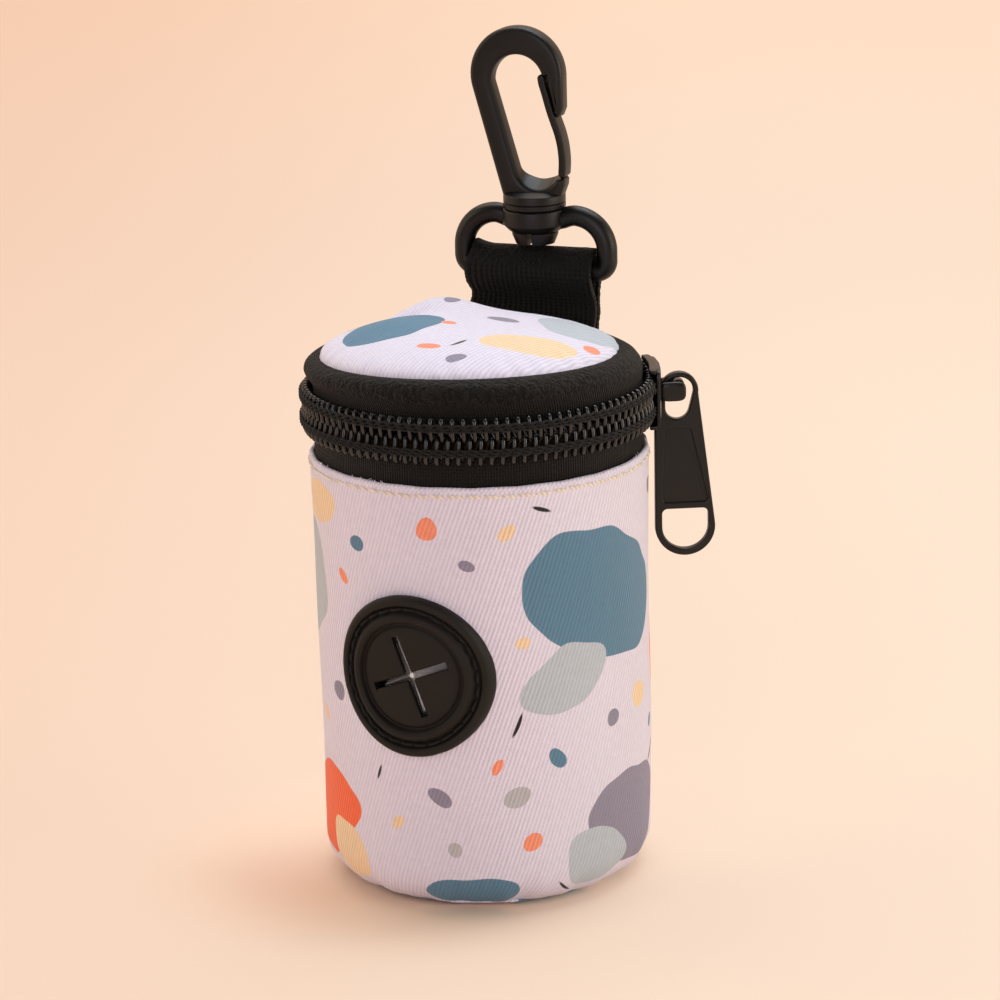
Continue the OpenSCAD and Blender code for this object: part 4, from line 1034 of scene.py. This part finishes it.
ex, ez = EYE_C
hook_outline = np.concatenate([
    [[-4.1, 92.2], [-4.55, 93.6]], arc(ex, ez, EYE_R, 195, 0, 48),
    [[ex + 7.05, ez - 0.78 * nose], [ex + 6.6, ez - 0.97 * nose], [ex + 6.2, ez - nose],
     [ex + 5.85, ez - 0.93 * nose],
     [ex + HOLE_R + 0.85, ez - 0.22 * nose], [ex + HOLE_R + 0.7, ez]],
    arc(ex + 0.1, ez - 0.95, HOLE_R, 12, 180, 36), arc(HEEL_X, HEEL_Z, HEEL_R, 190, 328, 24),
    [[3.95, 96.1], [4.3, 96.22], [4.85, 96.22], [5.12, 96.0], [5.05, 95.1], [4.55, 93.8],
     [4.1, 92.2]]])
body_plate = plate("hook_plate", [hook_outline], 3.2, 0.85)


def saddle(points):
    """Behind, the bottom of the eye rises by up to 1.5 mm, most at its lowest point."""
    x, y, z = points.T
    low = np.clip((HEEL_Z - z) / HEEL_R, 0, 1) * (np.hypot(x - HEEL_X, z - HEEL_Z) < 4.1)
    return np.stack([x, y, z + 1.5 * low * np.clip((y + 0.9) / 2.5, 0, 1)], 1)


reshaped(body_plate, saddle)
moved(body_plate, Matrix.Translation((0, 0.025, 0)))
collar = spun("hook_collar", np.concatenate([
    [[0, 88.1], [1.94, 88.12], [1.94, 91.55]], arc(4.3, 91.8, 0.25, -90, 0, 4),
    [[4.55, 92.35], [4.4, 92.45], [4.55, 92.55]], arc(4.3, 93.45, 0.25, 0, 90, 4),
    [[4.1, 93.75], [3.2, 93.95], [0, 94.0]]]))
halves = []
for shift in (-1, 1):
    barb = np.array([[0, 86.25], [2.1, 86.25], [2.45, 86.35], [3.0, 87.7], [3.0, 88.0],
                     [2.9, 88.15], [1.9, 88.15], [0, 88.15]])
    a = np.radians(np.linspace(-90, 90, 25) + (0 if shift > 0 else 180))[:, None]
    half = np.stack([0.4 * shift + barb[:, 0] * np.cos(a), bar_y + barb[:, 0] * np.sin(a),
                     barb[:, 1] + 0 * a], 2)
    halves.append(surface("barb", half, False, True, caps=True))
    tidy(halves[-1], 30)
hook = joined([body_plate, collar] + halves)
fit(hook, "hook", "black_plastic", acetal, "swivel_hook")

# ---------------------------------------------------------------------------------------------
# Gate. A springy tongue of the hook's own plastic that rises from the heel, bows out at the side
# and ends behind the nose.
gate_line = smooth(np.array([[0, 0], [-0.03, 0.13], [0.03, 0.28], [0.18, 0.42], [0.4, 0.55],
                             [0.61, 0.68],
                             [0.81, 0.83], [0.97, 0.94], [1.02, 1]]) * [-reach, span] + gate_root,
                             48)
gate_outline = thick(gate_line, 1.1)
gate_outline = np.concatenate([gate_outline[:48], arc(*gate_line[-1], 0.55, 10, 170, 8),
                               gate_outline[48:], arc(*gate_root, 0.55, 200, 340, 6)])
gate = moved(plate("hook_tongue", [gate_outline], 2.8, 0.28), Matrix.Translation((0, 0.025, 0)))
fit(gate, "gate", "black_plastic", acetal, "hook_gate")

# ---------------------------------------------------------------------------------------------
# Slider. Pressed zinc, black enamel: a front and a back plate astride the chain, joined by the
# post between the rows, lips that fold over the coil, and a bail in front for the pull.
def block(name, half, middle, sharp=0.3, curve=None, n=40):
    """A block with rounded edges: a squared sphere stretched to the half sizes. Where a curve
    radius is given, it is bent round the pouch's axis."""
    a = np.linspace(-np.pi / 2, np.pi / 2, n)[:, None]
    b = np.linspace(0, 2 * np.pi, 2 * n + 1)[None, :-1]
    x = half[0] * squared(np.sin(a), sharp) + 0 * b
    y = half[1] * squared(np.cos(a), sharp) * squared(np.cos(b), sharp)
    z = half[2] * squared(np.cos(a), sharp) * squared(np.sin(b), sharp)
    points = np.stack([middle[0] + x, middle[1] + y, middle[2] + z], 2)
    if curve:
        angle = points[..., 1] / curve
        points = np.stack([points[..., 0] * np.cos(angle), points[..., 0] * np.sin(angle),
                           points[..., 2]], 2)
    made = surface(name, points, False, True)
    tidy(made, 50)
    return made


slider_parts = [
    block("slider_plate", (0.3, 5.3, 4.3), (25.52, 0, 68.7), 0.22, 25.5),
    block("slider_back", (0.42, 4.7, 4.05), (21.78, 0, 69), 0.22, 21.8),
    block("lip_top", (0.62, 5.3, 0.4), (24.78, 0, 72.75), 0.3, 25.2),
    block("lip_low", (0.62, 5.3, 0.4), (24.78, 0, 64.75), 0.3, 25.2),
    block("bail_left", (1.85, 0.55, 1.4), (27.5, 1.5, 69.05), 0.55),
    block("bail_right", (1.85, 0.55, 1.4), (27.5, -1.5, 69.05), 0.55),
    block("bail_bar", (0.9, 1.75, 1.45), (28.45, 0, 69.05), 0.7)]
post = block("post", (1.75, 0.85, 0.26), (23.7, 0, 69), 0.3)
moved(post, Matrix.Rotation(np.radians(POST_TURN), 4, "Z"))
slider = joined(slider_parts + [post])
moved(slider, Matrix.Rotation(np.radians(SLIDER_TURN), 4, "Z"))
enamel = plain("black_enamelled_zinc", "#0D0807", 0.36, 0.35, 0.01, Specular_IOR_Level=0.32,
               Coat_Weight=0.05)
fit(slider, "slider", "black_metal", enamel, "slider_body")

# ---------------------------------------------------------------------------------------------
# Pull. Stamped zinc in the same enamel, hung in the bail: a ring at the top, a sunk panel with a
# raised rim, and a finger slot with a round end.
ring_c, tear_c, end_c = (28.5, 68.85), (28.2, 66.5), (29.15, 49.0)


def belt(c1, r1, c2, r2):
    """Outline of a belt round two circles: an arc of each between their common tangents."""
    turn = np.degrees(np.arctan2(c2[1] - c1[1], c2[0] - c1[0]))
    side = np.degrees(np.arccos((r1 - r2) / np.hypot(c2[0] - c1[0], c2[1] - c1[1])))
    return np.concatenate([arc(*c1, r1, turn + side, turn + 360 - side, 32),
                           arc(*c2, r2, turn - side, turn + side, 32)])


slot_x, slot_z = end_c
slot_top = slot_z + 2.6
finger = np.concatenate([arc(slot_x, slot_z, 3.3, 180, 360, 24),
                         arc(slot_x + 2.5, slot_top - 0.8, 0.8, 0, 90, 6),
                         arc(slot_x - 2.5, slot_top - 0.8, 0.8, 90, 180, 6)])
panel = np.concatenate([arc(27.0, 62.9, 0.5, 180, 90, 4), arc(29.6, 62.9, 0.5, 90, 0, 4),
                        arc(31.9, 53.1, 0.5, 0, -90, 4),
                        arc(26.5, 53.1, 0.5, 270, 180, 4)])
outline = np.concatenate([arc(*ring_c, 2.75, -8, 204, 34),
                          [[25.75, 66.9], [25.3, 66.55], [25.02, 66.0], [24.95, 65.2]],
                          arc(*end_c, 4.3, 178, 368, 32)])
tear = belt(ring_c, 2.0, tear_c, 1.7)
pull = joined([plate("pull_rim", [outline, tear, panel, finger], 1.4, 0.26),
               plate("pull_web", [outline * 0.996 + [0.11, 0.24], tear, finger], 0.9, 0.1)])
moved(pull, Matrix.Rotation(np.radians(SLIDER_TURN), 4, "Z"))
fit(pull, "pull", "black_metal", enamel, "pull_tab")
